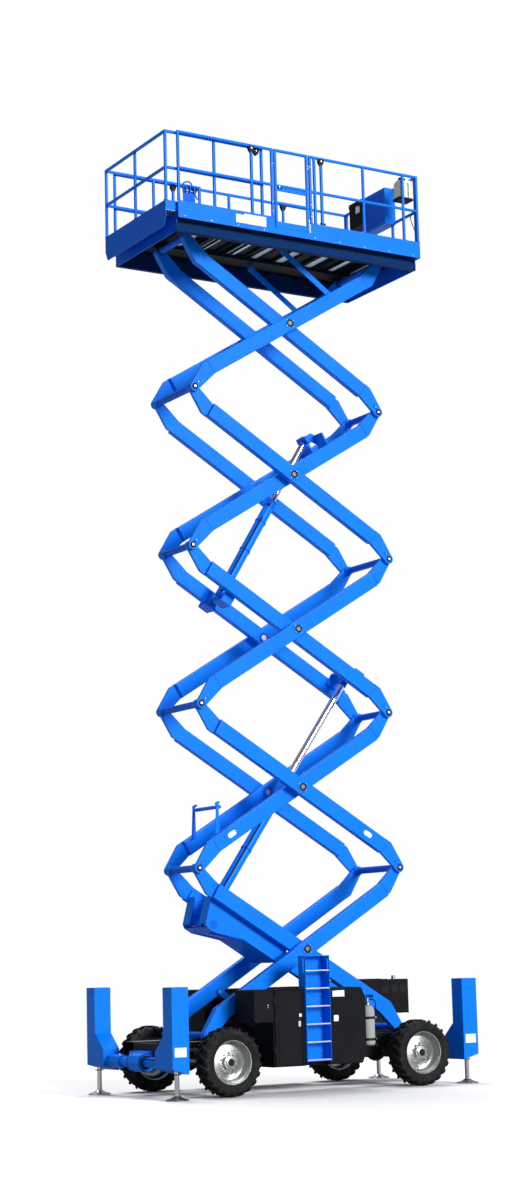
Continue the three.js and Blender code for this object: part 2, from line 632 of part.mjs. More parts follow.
function chassisFrame() {
  const solids = [];
  const hollows = [];
  for (const side of [-1, 1]) {
    solids.push(box(
      [-CHASSIS_HALF_LENGTH, CHASSIS_HALF_LENGTH],
      onSide(side, BEAM_INNER_Y, BEAM_OUTER_Y), [BEAM_BOTTOM_Z, BEAM_TOP_Z],
    ));
    solids.push(box(
      [-SKIRT_HALF_LENGTH, SKIRT_HALF_LENGTH],
      onSide(side, BEAM_INNER_Y + 20, BEAM_OUTER_Y - 20), [SKIRT_BOTTOM_Z, BEAM_BOTTOM_Z + 1],
    ));
    solids.push(linkEar(side, SLIDE_PIN_Z, BEAM_TOP_Z - 1));
    hollows.push(box(
      [-CHASSIS_HALF_LENGTH - 1, CHASSIS_HALF_LENGTH + 1],
      onSide(side, BEAM_INNER_Y + BEAM_WALL, BEAM_OUTER_Y - BEAM_WALL),
      [BEAM_BOTTOM_Z + BEAM_WALL, BEAM_TOP_Z - BEAM_WALL],
    ));
    hollows.push(box(
      [-SKIRT_HALF_LENGTH - 1, SKIRT_HALF_LENGTH + 1],
      onSide(side, BEAM_INNER_Y + 20 + BEAM_WALL, BEAM_OUTER_Y - 20 - BEAM_WALL),
      [SKIRT_BOTTOM_Z + BEAM_WALL, BEAM_BOTTOM_Z - 1],
    ));
  }
  const tieZ = [BEAM_BOTTOM_Z, BEAM_TOP_Z - 15.5];
  const ties = [
    box([-CHASSIS_HALF_LENGTH, -CHASSIS_HALF_LENGTH + 120], [-BEAM_INNER_Y - 1, BEAM_INNER_Y + 1], tieZ),
    box([CHASSIS_HALF_LENGTH - 120, CHASSIS_HALF_LENGTH], [-BEAM_INNER_Y - 1, BEAM_INNER_Y + 1], tieZ),
    box([-700, -600], [-BEAM_INNER_Y - 21, BEAM_INNER_Y + 21], [SKIRT_BOTTOM_Z, BEAM_BOTTOM_Z - 30]),
    box([500, 600], [-BEAM_INNER_Y - 21, BEAM_INNER_Y + 21], [SKIRT_BOTTOM_Z, BEAM_BOTTOM_Z - 30]),
  ];
  return join(cut(join(solids), hollows), ties);
}

// ---------------------------------------------------------------- outriggers
const LEG_TUBE_RADIUS = 60;
const LEG_TUBE_Z = 430;
const DRUM_RADIUS = 118;
const WING_Y = 690; // how far in a column's wing reaches at its foot
const WING_Z = [570, 765];
const FOOT_SLOPE = 66;

// outline of a column and its wing in (y, z), inset by the wall
function columnOutline(side, inset) {
  const inner = LEG_Y - COLUMN_WIDTH / 2 + inset;
  const outer = LEG_Y + COLUMN_WIDTH / 2 - inset;
  return polygon([
    [outer, COLUMN_BOTTOM_Z], [outer, COLUMN_TOP_Z - inset], [inner, COLUMN_TOP_Z - inset],
    [inner, WING_Z[1]], [WING_Y + inset, WING_Z[0] - inset], [WING_Y + inset, COLUMN_BOTTOM_Z],
  ].map(([y, z]) => [side * y, z]));
}

// a hollow column whose foot slopes up towards the end of the machine
function column(side, end) {
  const half = COLUMN_LENGTH / 2;
  const footPlate = 20;
  const slope = (thickness) => plateY(polygon([
    [-end * half - end, COLUMN_BOTTOM_Z - 50], [end * (half + 1), COLUMN_BOTTOM_Z - 50],
    [end * (half + 1), COLUMN_BOTTOM_Z + FOOT_SLOPE + thickness], [-end * half - end, COLUMN_BOTTOM_Z + thickness],
  ]), onSide(side, WING_Y - 1, MACHINE_HALF_WIDTH + 1));
  const shell = plateX(columnOutline(side, 0), [-half, half]);
  const hollow = plateX(columnOutline(side, COLUMN_WALL), [COLUMN_WALL - half, half - COLUMN_WALL]);
  const mouth = rodZ(JACK_ROD_RADIUS + SLIDE_GAP, 0, side * LEG_Y, [COLUMN_BOTTOM_Z - 1, COLUMN_BOTTOM_Z + 120]);
  return cut(shell, slope(0), cut(hollow, slope(footPlate)), mouth);
}

// end is -1 at the front and +1 at the rear
function outriggers(end) {
  const reach = WING_Y + 1;
  const brace = span(0, -end * (LEG_X - CHASSIS_HALF_LENGTH - SEAT_GAP));
  const solids = [
    rodY(LEG_TUBE_RADIUS, 0, LEG_TUBE_Z, [-reach, reach]),
    box(brace, [-200, 200], [LEG_TUBE_Z - 40, BEAM_BOTTOM_Z + 60]),
  ];
  if (end < 0) {
    solids.push(rodY(DRUM_RADIUS, 0, LEG_TUBE_Z, [-260, 60]));
    solids.push(rodY(85, 0, LEG_TUBE_Z, [360, reach]));
  }
  return join(solids, column(-1, end), column(1, end));
}

function jackLeg() {
  const foot = new THREE.LatheGeometry([
    new THREE.Vector2(0, 0), new THREE.Vector2(FOOT_RADIUS, 0), new THREE.Vector2(FOOT_RADIUS, 10),
    new THREE.Vector2(45, 55), new THREE.Vector2(0, 55),
  ], 20);
  foot.rotateX(Math.PI / 2);
  return join(toSolid(foot), rodZ(JACK_ROD_RADIUS, 0, 0, [50, COLUMN_TOP_Z - 300]));
}

function placeOutriggers() {
  for (const [name, end] of [['front', -1], ['rear', 1]]) {
    place(machine, `${name}_outriggers`, blue, outriggers(end)).position.x = end * LEG_X;
    for (const side of [-1, 1]) {
      const leg = place(machine, `${side < 0 ? 'near' : 'far'}_${name}_jack_leg`, chrome, jackLeg());
      leg.position.set(end * LEG_X, side * LEG_Y, 0);
    }
  }
}

// ---------------------------------------------------------------- side modules
const MODULE_FRONT_X = -1090;
const MODULE_REAR_X = 560;
const MODULE_INNER_Y = 620;
const MODULE_OUTER_Y = 1100;
const MODULE_Z = [330, 1280];
const ARCH_GAP = 40; // over the tyres
const ARCH_X = -820;
const ARCH_Z = 2 * TYRE_RADIUS + ARCH_GAP;
const DOOR_X = [-790, -400];
const DOOR_Z = [345, 1265];
const DOOR_THICKNESS = 15;
const DOOR_GAP = 5.3;
const DOOR_HINGE = [DOOR_X[0] - 12, -MODULE_OUTER_Y - 5];
const DOOR_HINGE_Z = [500, 1100];
const HINGE_RADIUS = 10;
const HINGE_HALF = 40; // length of one knuckle of a door hinge
const LADDER_X = [-360, 0];
const LADDER_Y = [975, MACHINE_HALF_WIDTH];
const LADDER_Z = [370, 1685];
const RUNGS = 6;
const RUNG_PITCH = 220;
const BOTTLE_X = 659;
const BOTTLE_Y = -985;
const BOTTLE_RADIUS = 88;
const SHELF_Z = 540;

function nearModule() {
  const outline = polygon([
    [MODULE_FRONT_X, ARCH_Z], [ARCH_X, ARCH_Z], [ARCH_X, MODULE_Z[0]], [MODULE_REAR_X - 60, MODULE_Z[0]],
    [MODULE_REAR_X, MODULE_Z[0] + 150], [MODULE_REAR_X, MODULE_Z[1] - 120],
    [MODULE_REAR_X - 60, MODULE_Z[1]], [MODULE_FRONT_X, MODULE_Z[1]],
  ]);
  const shell = plateY(outline, [-MODULE_OUTER_Y, -MODULE_INNER_Y]);
  const behindDoor = -MODULE_OUTER_Y + DOOR_THICKNESS + DOOR_GAP;
  const doorway = box(
    [DOOR_X[0] - 24, DOOR_X[1] + 5], [-MODULE_OUTER_Y - 1, behindDoor], [MODULE_Z[0] - 1, DOOR_Z[1] + 5],
  );
  const recess = box([DOOR_X[0] + 60, DOOR_X[1] - 30], [behindDoor - 1, behindDoor + 200], [430, 1200]);
  const ladderBay = box(
    [LADDER_X[0] - SEAT_GAP, LADDER_X[1] + SEAT_GAP],
    [-MODULE_OUTER_Y - 1, -LADDER_Y[0] + SEAT_GAP], [MODULE_Z[0] - 1, MODULE_Z[1] + 1],
  );
  const hinges = DOOR_HINGE_Z.map((z) => join(
    rodZ(HINGE_RADIUS, ...DOOR_HINGE, [z + HINGE_HALF + RUNNING_GAP, z + 2 * HINGE_HALF]),
    box(
      [DOOR_HINGE[0] - 22, DOOR_HINGE[0]], [DOOR_HINGE[1], -MODULE_OUTER_Y + 5],
      [z + HINGE_HALF + RUNNING_GAP, z + 2 * HINGE_HALF],
    ),
  ));
  const shelf = box([MODULE_REAR_X - 10, BOTTLE_X + 90], [BOTTLE_Y - 90, BOTTLE_Y + 90], [SHELF_Z - 14, SHELF_Z]);
  return join(cut(shell, doorway, recess, ladderBay), hinges, shelf);
}

function ladder() {
  const [front, rear] = LADDER_X;
  const y = [-LADDER_Y[1], -LADDER_Y[0]];
  const solids = [
    box(LADDER_X, [-LADDER_Y[0] - 6, -LADDER_Y[0]], LADDER_Z),
    box([front, front + 8], y, LADDER_Z),
    box([rear - 8, rear], y, LADDER_Z),
  ];
  for (let i = 0; i < RUNGS; i += 1) {
    const z = LADDER_Z[0] + 20 + i * RUNG_PITCH;
    solids.push(box(LADDER_X, [y[0], y[0] + 70], [z, z + 16]));
  }
  return join(solids);
}

function gasBottle() {
  const r = BOTTLE_RADIUS;
  const profile = [[0, 0], [r - 15, 0], [r, 25], [r, 440], [r - 30, 500], [35, 515], [35, 540], [0, 540]];
  const bottle = new THREE.LatheGeometry(profile.map(([a, b]) => new THREE.Vector2(a, b)), 16);
  bottle.rotateX(Math.PI / 2);
  return toSolid(bottle);
}

const HOOD_X = [1300, 2430];
const HOOD_STEP_X = LEG_X - COLUMN_LENGTH / 2 - 30;
const HOOD_Y = [640, 885, 1110];
const HOOD_BOTTOM_Z = 2 * TYRE_RADIUS + ARCH_GAP;
const HOOD_Z = [HOOD_BOTTOM_Z, HOOD_BOTTOM_Z + 460];
const HOOD_WALL = 20;
const HATCH_X = [1400, 1960];
const HATCH_Z = [HOOD_BOTTOM_Z + 50, HOOD_BOTTOM_Z + 420];

function hoodOutline(inset) {
  return polygon([
    [HOOD_X[0] + inset, HOOD_Y[0] + inset], [HOOD_X[1] - inset, HOOD_Y[0] + inset],
    [HOOD_X[1] - inset, HOOD_Y[1] - inset], [HOOD_STEP_X - inset, HOOD_Y[1] - inset],
    [HOOD_STEP_X - inset, HOOD_Y[2] - inset], [HOOD_X[0] + inset, HOOD_Y[2] - inset],
  ]);
}

function engineHood() {
  const shell = plateZ(hoodOutline(0), HOOD_Z);
  const hollow = plateZ(hoodOutline(HOOD_WALL), [HOOD_Z[0] + HOOD_WALL, HOOD_Z[1] - HOOD_WALL]);
  const hatch = box(HATCH_X, [HOOD_Y[2] - HOOD_WALL - 1, HOOD_Y[2] + 1], HATCH_Z);
  // the bracket that carries the hood on the chassis beam
  const bracket = box([1420, 2000], [BEAM_OUTER_Y + SEAT_GAP, HOOD_Y[0] + 1], [BEAM_BOTTOM_Z + 60, HOOD_Z[0] + 120]);
  return join(cut(shell, hollow, hatch), bracket);
}

function placeModules() {
  const [doorFront, doorRear] = DOOR_X;
  const doorY = [-MODULE_OUTER_Y, -MODULE_OUTER_Y + DOOR_THICKNESS];
  const gap = 8;
  place(machine, 'near_module', black, join(nearModule(), moduleBrackets(-1)));
  const knuckles = DOOR_HINGE_Z.map((z) => join(
    rodZ(HINGE_RADIUS, ...DOOR_HINGE, [z, z + HINGE_HALF]),
    box([DOOR_HINGE[0], DOOR_X[0] + 15], [DOOR_HINGE[1], -MODULE_OUTER_Y + 5], [z, z + HINGE_HALF]),
  ));
  place(machine, 'near_module_door', black, join(box([doorFront, doorRear], doorY, DOOR_Z), knuckles));
  place(machine, 'far_module', black, join(
    box([ARCH_X, -ARCH_X], [MODULE_INNER_Y, MODULE_OUTER_Y], MODULE_Z), moduleBrackets(1),
  ));
  place(machine, 'ladder', blue, ladder());
  place(machine, 'gas_bottle', grey, gasBottle()).position.set(BOTTLE_X, BOTTLE_Y, SHELF_Z + SEAT_GAP);
  place(machine, 'engine_hood', black, engineHood());
  place(machine, 'engine_hatch', black, box(
    [HATCH_X[0] + gap, HATCH_X[1] - gap], [HOOD_Y[2] - HOOD_WALL, HOOD_Y[2]],
    [HATCH_Z[0] + gap, HATCH_Z[1] - 0.8],
  ));
  place(machine, 'engine_block', grey, box(
    [1450, 1950], [HOOD_Y[0] + 60, HOOD_Y[2] - 90],
    [HOOD_Z[0] + HOOD_WALL + SEAT_GAP, HOOD_Z[1] - 60],
  ));
}

// feet that stand a side module off the chassis beam
function moduleBrackets(side) {
  return [-400, 300].map((x) => box(
    [x, x + 100], onSide(side, BEAM_OUTER_Y + SEAT_GAP, MODULE_INNER_Y + 1), [BEAM_BOTTOM_Z + 20, BEAM_BOTTOM_Z + 140],
  ));
}

// ---------------------------------------------------------------- platform
const PLATE = 6; // deck thickness
const BOARD = 12; // thickness of the toe boards
const CHANNEL_Y = [800, 860]; // the channel under each side of the deck
const CHANNEL_Z = [TOP_PIN_Z - 120, TOP_PIN_Z - 20];
const TOE_BOTTOM_Z = DECK_Z - 91;
const RIB_X = [-1500, -1000, -500, 500, 1000, 1500];
const SLIDE_RAIL_Y = [300, 575];
const RAIL_Y = DECK_HALF_WIDTH - RAIL_TUBE / 2;
const TOE_TOP_Z = DECK_Z + TOE_BOARD_HEIGHT;
const POST_FOOT_Z = TOE_TOP_Z + SEAT_GAP;
const TOP_RAIL_Z = [DECK_Z + RAIL_HEIGHT - RAIL_TUBE, DECK_Z + RAIL_HEIGHT];
const MID_RAIL_Z = [DECK_Z + MID_RAIL_HEIGHT - RAIL_TUBE / 2, DECK_Z + MID_RAIL_HEIGHT + RAIL_TUBE / 2];
const GATE_GAP = 15;
const HINGE_LEAF_GAP = 0.8;

function platformDeck() {
  const x = [DECK_FRONT_X, DECK_REAR_X];
  const underDeck = DECK_Z - PLATE + 1;
  const slideZ = [TOP_PIN_Z + BOSS_RADIUS + RUNNING_GAP, underDeck];
  const [channelIn, channelOut] = CHANNEL_Y;
  const solids = [
    box(x, [-DECK_HALF_WIDTH, DECK_HALF_WIDTH], [DECK_Z - PLATE, DECK_Z]),
    box([DECK_REAR_X - BOARD, DECK_REAR_X], [-DECK_HALF_WIDTH, DECK_HALF_WIDTH], [TOE_BOTTOM_Z, TOE_TOP_Z]),
    box([DECK_REAR_X - 60, DECK_REAR_X - 48], [-channelOut, channelOut], [CHANNEL_Z[0], underDeck]),
    box([DECK_FRONT_X, DECK_FRONT_X + BOARD], [-channelOut, channelOut], [CHANNEL_Z[0], underDeck]),
  ];
  const hollows = [];
  for (const side of [-1, 1]) {
    solids.push(box(x, onSide(side, DECK_HALF_WIDTH - BOARD, DECK_HALF_WIDTH), [TOE_BOTTOM_Z, TOE_TOP_Z]));
    solids.push(box([x[0], x[1] - 48], onSide(side, channelIn, channelIn + BOARD), [CHANNEL_Z[1] - 1, underDeck]));
    solids.push(box([x[0], x[1] - 48], onSide(side, channelIn, channelOut), CHANNEL_Z));
    solids.push(box([DECK_FRONT_X + 30, DECK_REAR_X - 30], onSide(side, ...SLIDE_RAIL_Y), slideZ));
    hollows.push(box(
      [x[0] + BOARD + 1, x[1] - 61],
      onSide(side, channelIn - 1, channelOut - BEAM_WALL), [CHANNEL_Z[0] + BEAM_WALL, CHANNEL_Z[1] - BEAM_WALL],
    ));
    hollows.push(box(
      [DECK_FRONT_X + 29, DECK_REAR_X - 29],
      onSide(side, SLIDE_RAIL_Y[0] + 10, SLIDE_RAIL_Y[1] - 10), [slideZ[0] + 10, DECK_Z - PLATE],
    ));
  }
  const gateway = box(
    [GATE_FRONT_X, GATE_REAR_X], [-DECK_HALF_WIDTH - 1, -DECK_HALF_WIDTH + BOARD + 1], [DECK_Z, TOE_TOP_Z + 1],
  );
  const ribs = RIB_X.map((at) => box(
    [at - 5, at + 5], [-channelIn - 1, channelIn + 1], [slideZ[0] + 5, underDeck],
  ));
  const ears = [-1, 1].map((side) => linkEar(side, TOP_PIN_Z, slideZ[0] + 1));
  return join(cut(join(solids, ribs), gateway, hollows), ears);
}

function post(x, y, z) {
  const half = RAIL_TUBE / 2;
  return box([x - half, x + half], [y - half, y + half], z);
}

// a run of guard rail along X at one Y, with a post at each given place
function railAlongX(x, y, posts, footZ = POST_FOOT_Z) {
  const half = RAIL_TUBE / 2;
  return join(
    box(x, [y - half, y + half], TOP_RAIL_Z),
    box(x, [y - half, y + half], MID_RAIL_Z),
    posts.map((at) => post(at, y, [footZ, TOP_RAIL_Z[1]])),
  );
}

function railAlongY(x, y, posts, footZ = POST_FOOT_Z) {
  const half = RAIL_TUBE / 2;
  return join(
    box([x - half, x + half], y, TOP_RAIL_Z),
    box([x - half, x + half], y, MID_RAIL_Z),
    posts.map((at) => post(x, at, [footZ, TOP_RAIL_Z[1]])),
  );
}

function placeRails() {
  const half = RAIL_TUBE / 2;
  const frontPost = DECK_FRONT_X + half;
  const rearPost = DECK_REAR_X - half;
  const gatePosts = [GATE_FRONT_X - half, GATE_REAR_X + half];
  place(machine, 'near_front_guard_rail', blue, railAlongX(
    [DECK_FRONT_X, GATE_FRONT_X], -RAIL_Y, [frontPost, -700, gatePosts[0]],
  ));
  place(machine, 'near_rear_guard_rail', blue, railAlongX(
    [GATE_REAR_X, DECK_REAR_X], -RAIL_Y, [gatePosts[1], 290, 400, 1080, 1740, rearPost],
  ));
  place(machine, 'far_guard_rail', blue, railAlongX(
    [DECK_FRONT_X, DECK_REAR_X], RAIL_Y, [frontPost, -900, 0, 900, rearPost],
  ));
  const corner = RAIL_Y - half - SEAT_GAP;
  place(machine, 'rear_guard_rail', blue, railAlongY(
    rearPost, [-corner, corner], [half - corner, -300, 300, corner - half],
  ));
}

function gate() {
  const x = [GATE_FRONT_X + GATE_GAP, GATE_REAR_X - GATE_GAP];
  const posts = [x[0] + RAIL_TUBE / 2, x[1] - RAIL_TUBE / 2];
  const footZ = DECK_Z + 6;
  const panelY = [-RAIL_Y - 10, -RAIL_Y + 10];
  return join(
    railAlongX(x, -RAIL_Y, posts, footZ),
    box(x, [-RAIL_Y - RAIL_TUBE / 2, -RAIL_Y + RAIL_TUBE / 2], [DECK_Z + 330, DECK_Z + 368]),
    box(x, panelY, [footZ, DECK_Z + 90]),
    box(x, panelY, [DECK_Z + 519, MID_RAIL_Z[0] + 1]),
  );
}

function placeGate() {
  const leaf = box(
    [GATE_REAR_X - GATE_GAP - 1, GATE_REAR_X - HINGE_LEAF_GAP], [-RAIL_Y - 5, -RAIL_Y + 5],
    [DECK_Z + 900, DECK_Z + 940],
  );
  place(machine, 'gate', blue, join(gate(), leaf));
}

function placeExtension() {
  const half = RAIL_TUBE / 2;
  const y = EXTENSION_HALF_WIDTH - half;
  const endX = EXTENSION_FRONT_X + half;
  const rearX = EXTENSION_FRONT_X + EXTENSION_LENGTH;
  const deck = box(
    [EXTENSION_FRONT_X + 1, rearX], [-EXTENSION_HALF_WIDTH, EXTENSION_HALF_WIDTH],
    [DECK_Z + SEAT_GAP, DECK_Z + PLATE],
  );
  const boardBottom = TOP_PIN_Z - 65;
  const board = plateX(polygon([
    [-EXTENSION_HALF_WIDTH, TOE_TOP_Z], [-EXTENSION_HALF_WIDTH, boardBottom + 120],
    [60 - EXTENSION_HALF_WIDTH, boardBottom], [EXTENSION_HALF_WIDTH - 60, boardBottom],
    [EXTENSION_HALF_WIDTH, boardBottom + 120], [EXTENSION_HALF_WIDTH, TOE_TOP_Z],
  ]), [EXTENSION_FRONT_X, EXTENSION_FRONT_X + BOARD]);
  const sides = [-1, 1].map((side) => box(
    [EXTENSION_FRONT_X + 1, rearX],
    onSide(side, EXTENSION_HALF_WIDTH - 20, EXTENSION_HALF_WIDTH), [DECK_Z + SEAT_GAP, TOE_TOP_Z],
  ));
  place(machine, 'extension_deck', blue, join(deck, board, sides));
  const posts = [endX, EXTENSION_FRONT_X + EXTENSION_LENGTH / 2, rearX - half];
  place(machine, 'extension_guard_rail', blue, join(
    railAlongX([EXTENSION_FRONT_X, rearX], -y, posts),
    railAlongX([EXTENSION_FRONT_X, rearX], y, posts),
    railAlongY(endX, [-y, y], [0]),
  ));
}

function placePlatformBoxes() {
  const sideRail = -DECK_HALF_WIDTH + RAIL_TUBE + SEAT_GAP;
  const endRail = DECK_REAR_X - RAIL_TUBE - SEAT_GAP;
  const z = (low, high) => [DECK_Z + low, DECK_Z + high];
  place(machine, 'control_box', cream, box([1700, 1930], [sideRail, sideRail + 170], z(740, 1050)));
  place(machine, 'tool_box', black, box([endRail - 220, endRail], [100, 460], z(680, 1069)));
  place(machine, 'document_box', darkBlue, box([endRail - 180, endRail], [-410, 100 - SEAT_GAP], z(540, 1069)));
}

// ---------------------------------------------------------------- assembly
placeFrames();
placeLinks();
placeCylinder(
  'lower', mountPoint(1, -1, LOWER_BASE), mountPoint(3, -1, LOWER_EYE), 2380, 2440,
);
placeCylinder(
  'upper', mountPoint(3, -1, UPPER_BASE), mountPoint(4, 1, UPPER_EYE), 1660, 1720,
);
placeAxles();
placeWheels();
place(machine, 'chassis_frame', black, chassisFrame());
placeOutriggers();
placeModules();
place(machine, 'platform_deck', blue, platformDeck());
placeRails();
placeGate();
placeExtension();
placePlatformBoxes();

// the origin is halfway between the front feet's edge and the engine hood's end
machine.position.x = (LEG_X + FOOT_RADIUS - HOOD_X[1]) / 2;

export default machine;
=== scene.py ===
# Rough-terrain scissor lift: the looks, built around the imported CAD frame.
# Metres, +Z up, -X is the steered front end, -Y is the near side.
import json
import math

import bmesh
import bpy
from mathutils import Matrix, Vector

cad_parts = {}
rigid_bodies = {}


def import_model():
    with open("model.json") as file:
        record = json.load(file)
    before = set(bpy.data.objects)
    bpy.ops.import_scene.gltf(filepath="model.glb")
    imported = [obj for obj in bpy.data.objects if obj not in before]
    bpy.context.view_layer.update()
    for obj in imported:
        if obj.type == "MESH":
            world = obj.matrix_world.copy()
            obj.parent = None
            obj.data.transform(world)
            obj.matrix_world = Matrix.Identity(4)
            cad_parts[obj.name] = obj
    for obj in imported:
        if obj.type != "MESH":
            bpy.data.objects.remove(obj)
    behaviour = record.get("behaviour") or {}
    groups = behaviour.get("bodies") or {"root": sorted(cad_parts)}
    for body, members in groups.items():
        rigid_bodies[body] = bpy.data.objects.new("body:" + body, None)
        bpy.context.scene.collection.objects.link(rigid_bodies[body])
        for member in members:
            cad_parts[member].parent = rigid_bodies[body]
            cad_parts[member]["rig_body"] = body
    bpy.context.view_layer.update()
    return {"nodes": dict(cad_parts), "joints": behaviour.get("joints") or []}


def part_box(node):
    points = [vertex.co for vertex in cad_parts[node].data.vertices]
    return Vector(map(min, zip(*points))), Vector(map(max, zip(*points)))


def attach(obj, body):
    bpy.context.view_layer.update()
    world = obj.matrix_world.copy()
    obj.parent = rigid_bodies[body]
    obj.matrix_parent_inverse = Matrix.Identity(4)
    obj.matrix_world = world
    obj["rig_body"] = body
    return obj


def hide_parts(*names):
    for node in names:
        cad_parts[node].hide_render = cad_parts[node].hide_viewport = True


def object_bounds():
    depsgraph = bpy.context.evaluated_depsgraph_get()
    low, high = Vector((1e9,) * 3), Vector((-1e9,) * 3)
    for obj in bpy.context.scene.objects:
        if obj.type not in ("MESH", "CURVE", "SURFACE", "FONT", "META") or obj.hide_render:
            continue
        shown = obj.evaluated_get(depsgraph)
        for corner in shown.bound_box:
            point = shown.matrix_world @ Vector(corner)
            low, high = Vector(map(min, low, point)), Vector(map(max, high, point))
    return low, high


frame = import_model()
NODES = frame["nodes"]
SCENE = bpy.context.scene


# ---------------------------------------------------------------- camera and light
# the camera fitted to the photo
AZIMUTH, PITCH, ROLL = math.radians(31.19), math.radians(9.27), math.radians(-1.45)
EYE = (-15.257, -24.802, 1.650)
FOCAL, FRAME_HEIGHT, SENSOR = 2202.26, 1200, 36
AMBIENT = 0.32


def add_camera():
    right = Vector((math.cos(AZIMUTH), -math.sin(AZIMUTH), 0))
    level = math.cos(PITCH)
    forward = Vector((math.sin(AZIMUTH) * level, math.cos(AZIMUTH) * level, math.sin(PITCH)))
    up = right.cross(forward)
    across = right * math.cos(ROLL) + up * math.sin(ROLL)
    upward = up * math.cos(ROLL) - right * math.sin(ROLL)
    data = bpy.data.cameras.new("camera")
    data.sensor_fit, data.sensor_width, data.sensor_height = "AUTO", SENSOR, SENSOR
    data.lens = SENSOR * FOCAL / FRAME_HEIGHT
    data.clip_start, data.clip_end = 0.5, 300
    camera = bpy.data.objects.new("camera", data)
    turn = Matrix((across, upward, -forward)).transposed()
    camera.matrix_world = Matrix.Translation(EYE) @ turn.to_4x4()
    SCENE.collection.objects.link(camera)
    SCENE.camera = camera


def add_sun(name, strength, direction, width):
    data = bpy.data.lights.new(name, "SUN")
    data.energy, data.angle = strength, math.radians(width)
    sun = bpy.data.objects.new(name, data)
    sun.rotation_euler = Vector(direction).to_track_quat("-Z", "Y").to_euler()
    SCENE.collection.objects.link(sun)


def add_world():
    """White to the eye, and a dimmer white as the light from all round."""
    world = bpy.data.worlds.new("studio")
    SCENE.world = world
    world.use_nodes = True
    nodes, links = world.node_tree.nodes, world.node_tree.links
    nodes.clear()
    output = nodes.new("ShaderNodeOutputWorld")
    lit, seen = nodes.new("ShaderNodeBackground"), nodes.new("ShaderNodeBackground")
    lit.inputs["Color"].default_value = (1, 1, 1, 1)
    lit.inputs["Strength"].default_value = AMBIENT
    seen.inputs["Color"].default_value = (1, 1, 1, 1)
    path, mix = nodes.new("ShaderNodeLightPath"), nodes.new("ShaderNodeMixShader")
    links.new(path.outputs["Is Camera Ray"], mix.inputs["Fac"])
    links.new(lit.outputs[0], mix.inputs[1])
    links.new(seen.outputs[0], mix.inputs[2])
    links.new(mix.outputs[0], output.inputs[0])


add_camera()
add_world()
add_sun("key", 3.3, (-0.22, 0.95, -0.30), 20)
add_sun("overhead", 2.5, (-0.10, -0.42, -1.0), 36)
SCENE.view_settings.view_transform = "Standard"


# ---------------------------------------------------------------- materials
class Surface:
    """A node tree being built: each call adds a node and returns the output wanted."""

    def __init__(self, name):
        self.material = bpy.data.materials.new(name)
        self.material.use_nodes = True
        self.tree = self.material.node_tree
        self.shader = self.tree.nodes["Principled BSDF"]
        place = self.tree.nodes.new("ShaderNodeTexCoord")
        self.place = place.outputs["Object"]

    def feed(self, node, socket, value):
        target = node.inputs[socket]
        if isinstance(value, bpy.types.NodeSocket):
            self.tree.links.new(value, target)
        elif value is not None:
            target.default_value = value

    def noise(self, scale, detail=3, roughness=0.5, stretch=None):
        node = self.tree.nodes.new("ShaderNodeTexNoise")
        where = self.place
        if stretch:
            mapping = self.tree.nodes.new("ShaderNodeMapping")
            mapping.inputs["Scale"].default_value = stretch
            self.tree.links.new(self.place, mapping.inputs["Vector"])
            where = mapping.outputs[0]
        self.tree.links.new(where, node.inputs["Vector"])
        self.feed(node, "Scale", scale)
        self.feed(node, "Detail", detail)
        self.feed(node, "Roughness", roughness)
        return node.outputs["Fac"]

    def cells(self, scale):
        node = self.tree.nodes.new("ShaderNodeTexVoronoi")
        self.tree.links.new(self.place, node.inputs["Vector"])
        self.feed(node, "Scale", scale)
        return node.outputs["Distance"]

    def spread(self, value, low, high, to_low=0.0, to_high=1.0):
        node = self.tree.nodes.new("ShaderNodeMapRange")
        node.clamp = True
        limits = {"From Min": low, "From Max": high, "To Min": to_low, "To Max": to_high}
        for socket, number in limits.items():
            node.inputs[socket].default_value = number
        self.tree.links.new(value, node.inputs["Value"])
        return node.outputs[0]

    def math(self, operation, a, b=None):
        node = self.tree.nodes.new("ShaderNodeMath")
        node.operation = operation
        self.feed(node, 0, a)
        if b is not None:
            self.feed(node, 1, b)
        return node.outputs[0]

    def mix(self, factor, a, b):
        node = self.tree.nodes.new("ShaderNodeMix")
        node.data_type = "RGBA"
        self.feed(node, "Factor", factor)
        for socket, value in ((6, a), (7, b)):
            if isinstance(value, tuple):
                node.inputs[socket].default_value = (*value, 1)
            else:
                self.tree.links.new(value, node.inputs[socket])
        return node.outputs[2]

    def axis(self, which):
        node = self.tree.nodes.new("ShaderNodeSeparateXYZ")
        self.tree.links.new(self.place, node.inputs[0])
        return node.outputs[which]

    def bump(self, height, strength, distance):
        node = self.tree.nodes.new("ShaderNodeBump")
        node.inputs["Strength"].default_value = strength
        node.inputs["Distance"].default_value = distance
        self.tree.links.new(height, node.inputs["Height"])
        self.tree.links.new(node.outputs[0], self.shader.inputs["Normal"])

    def finish(self, color, roughness, metallic=0.0, **more):
        shader = self.shader
        if isinstance(color, tuple):
            shader.inputs["Base Color"].default_value = (*color, 1)
        else:
            self.tree.links.new(color, shader.inputs["Base Color"])
        self.feed(shader, "Roughness", roughness)
        self.feed(shader, "Metallic", metallic)
        for socket, value in more.items():
            self.feed(shader, socket.replace("_", " "), value)
        return self.material


def shade(color, factor):
    return tuple(channel * factor for channel in color)


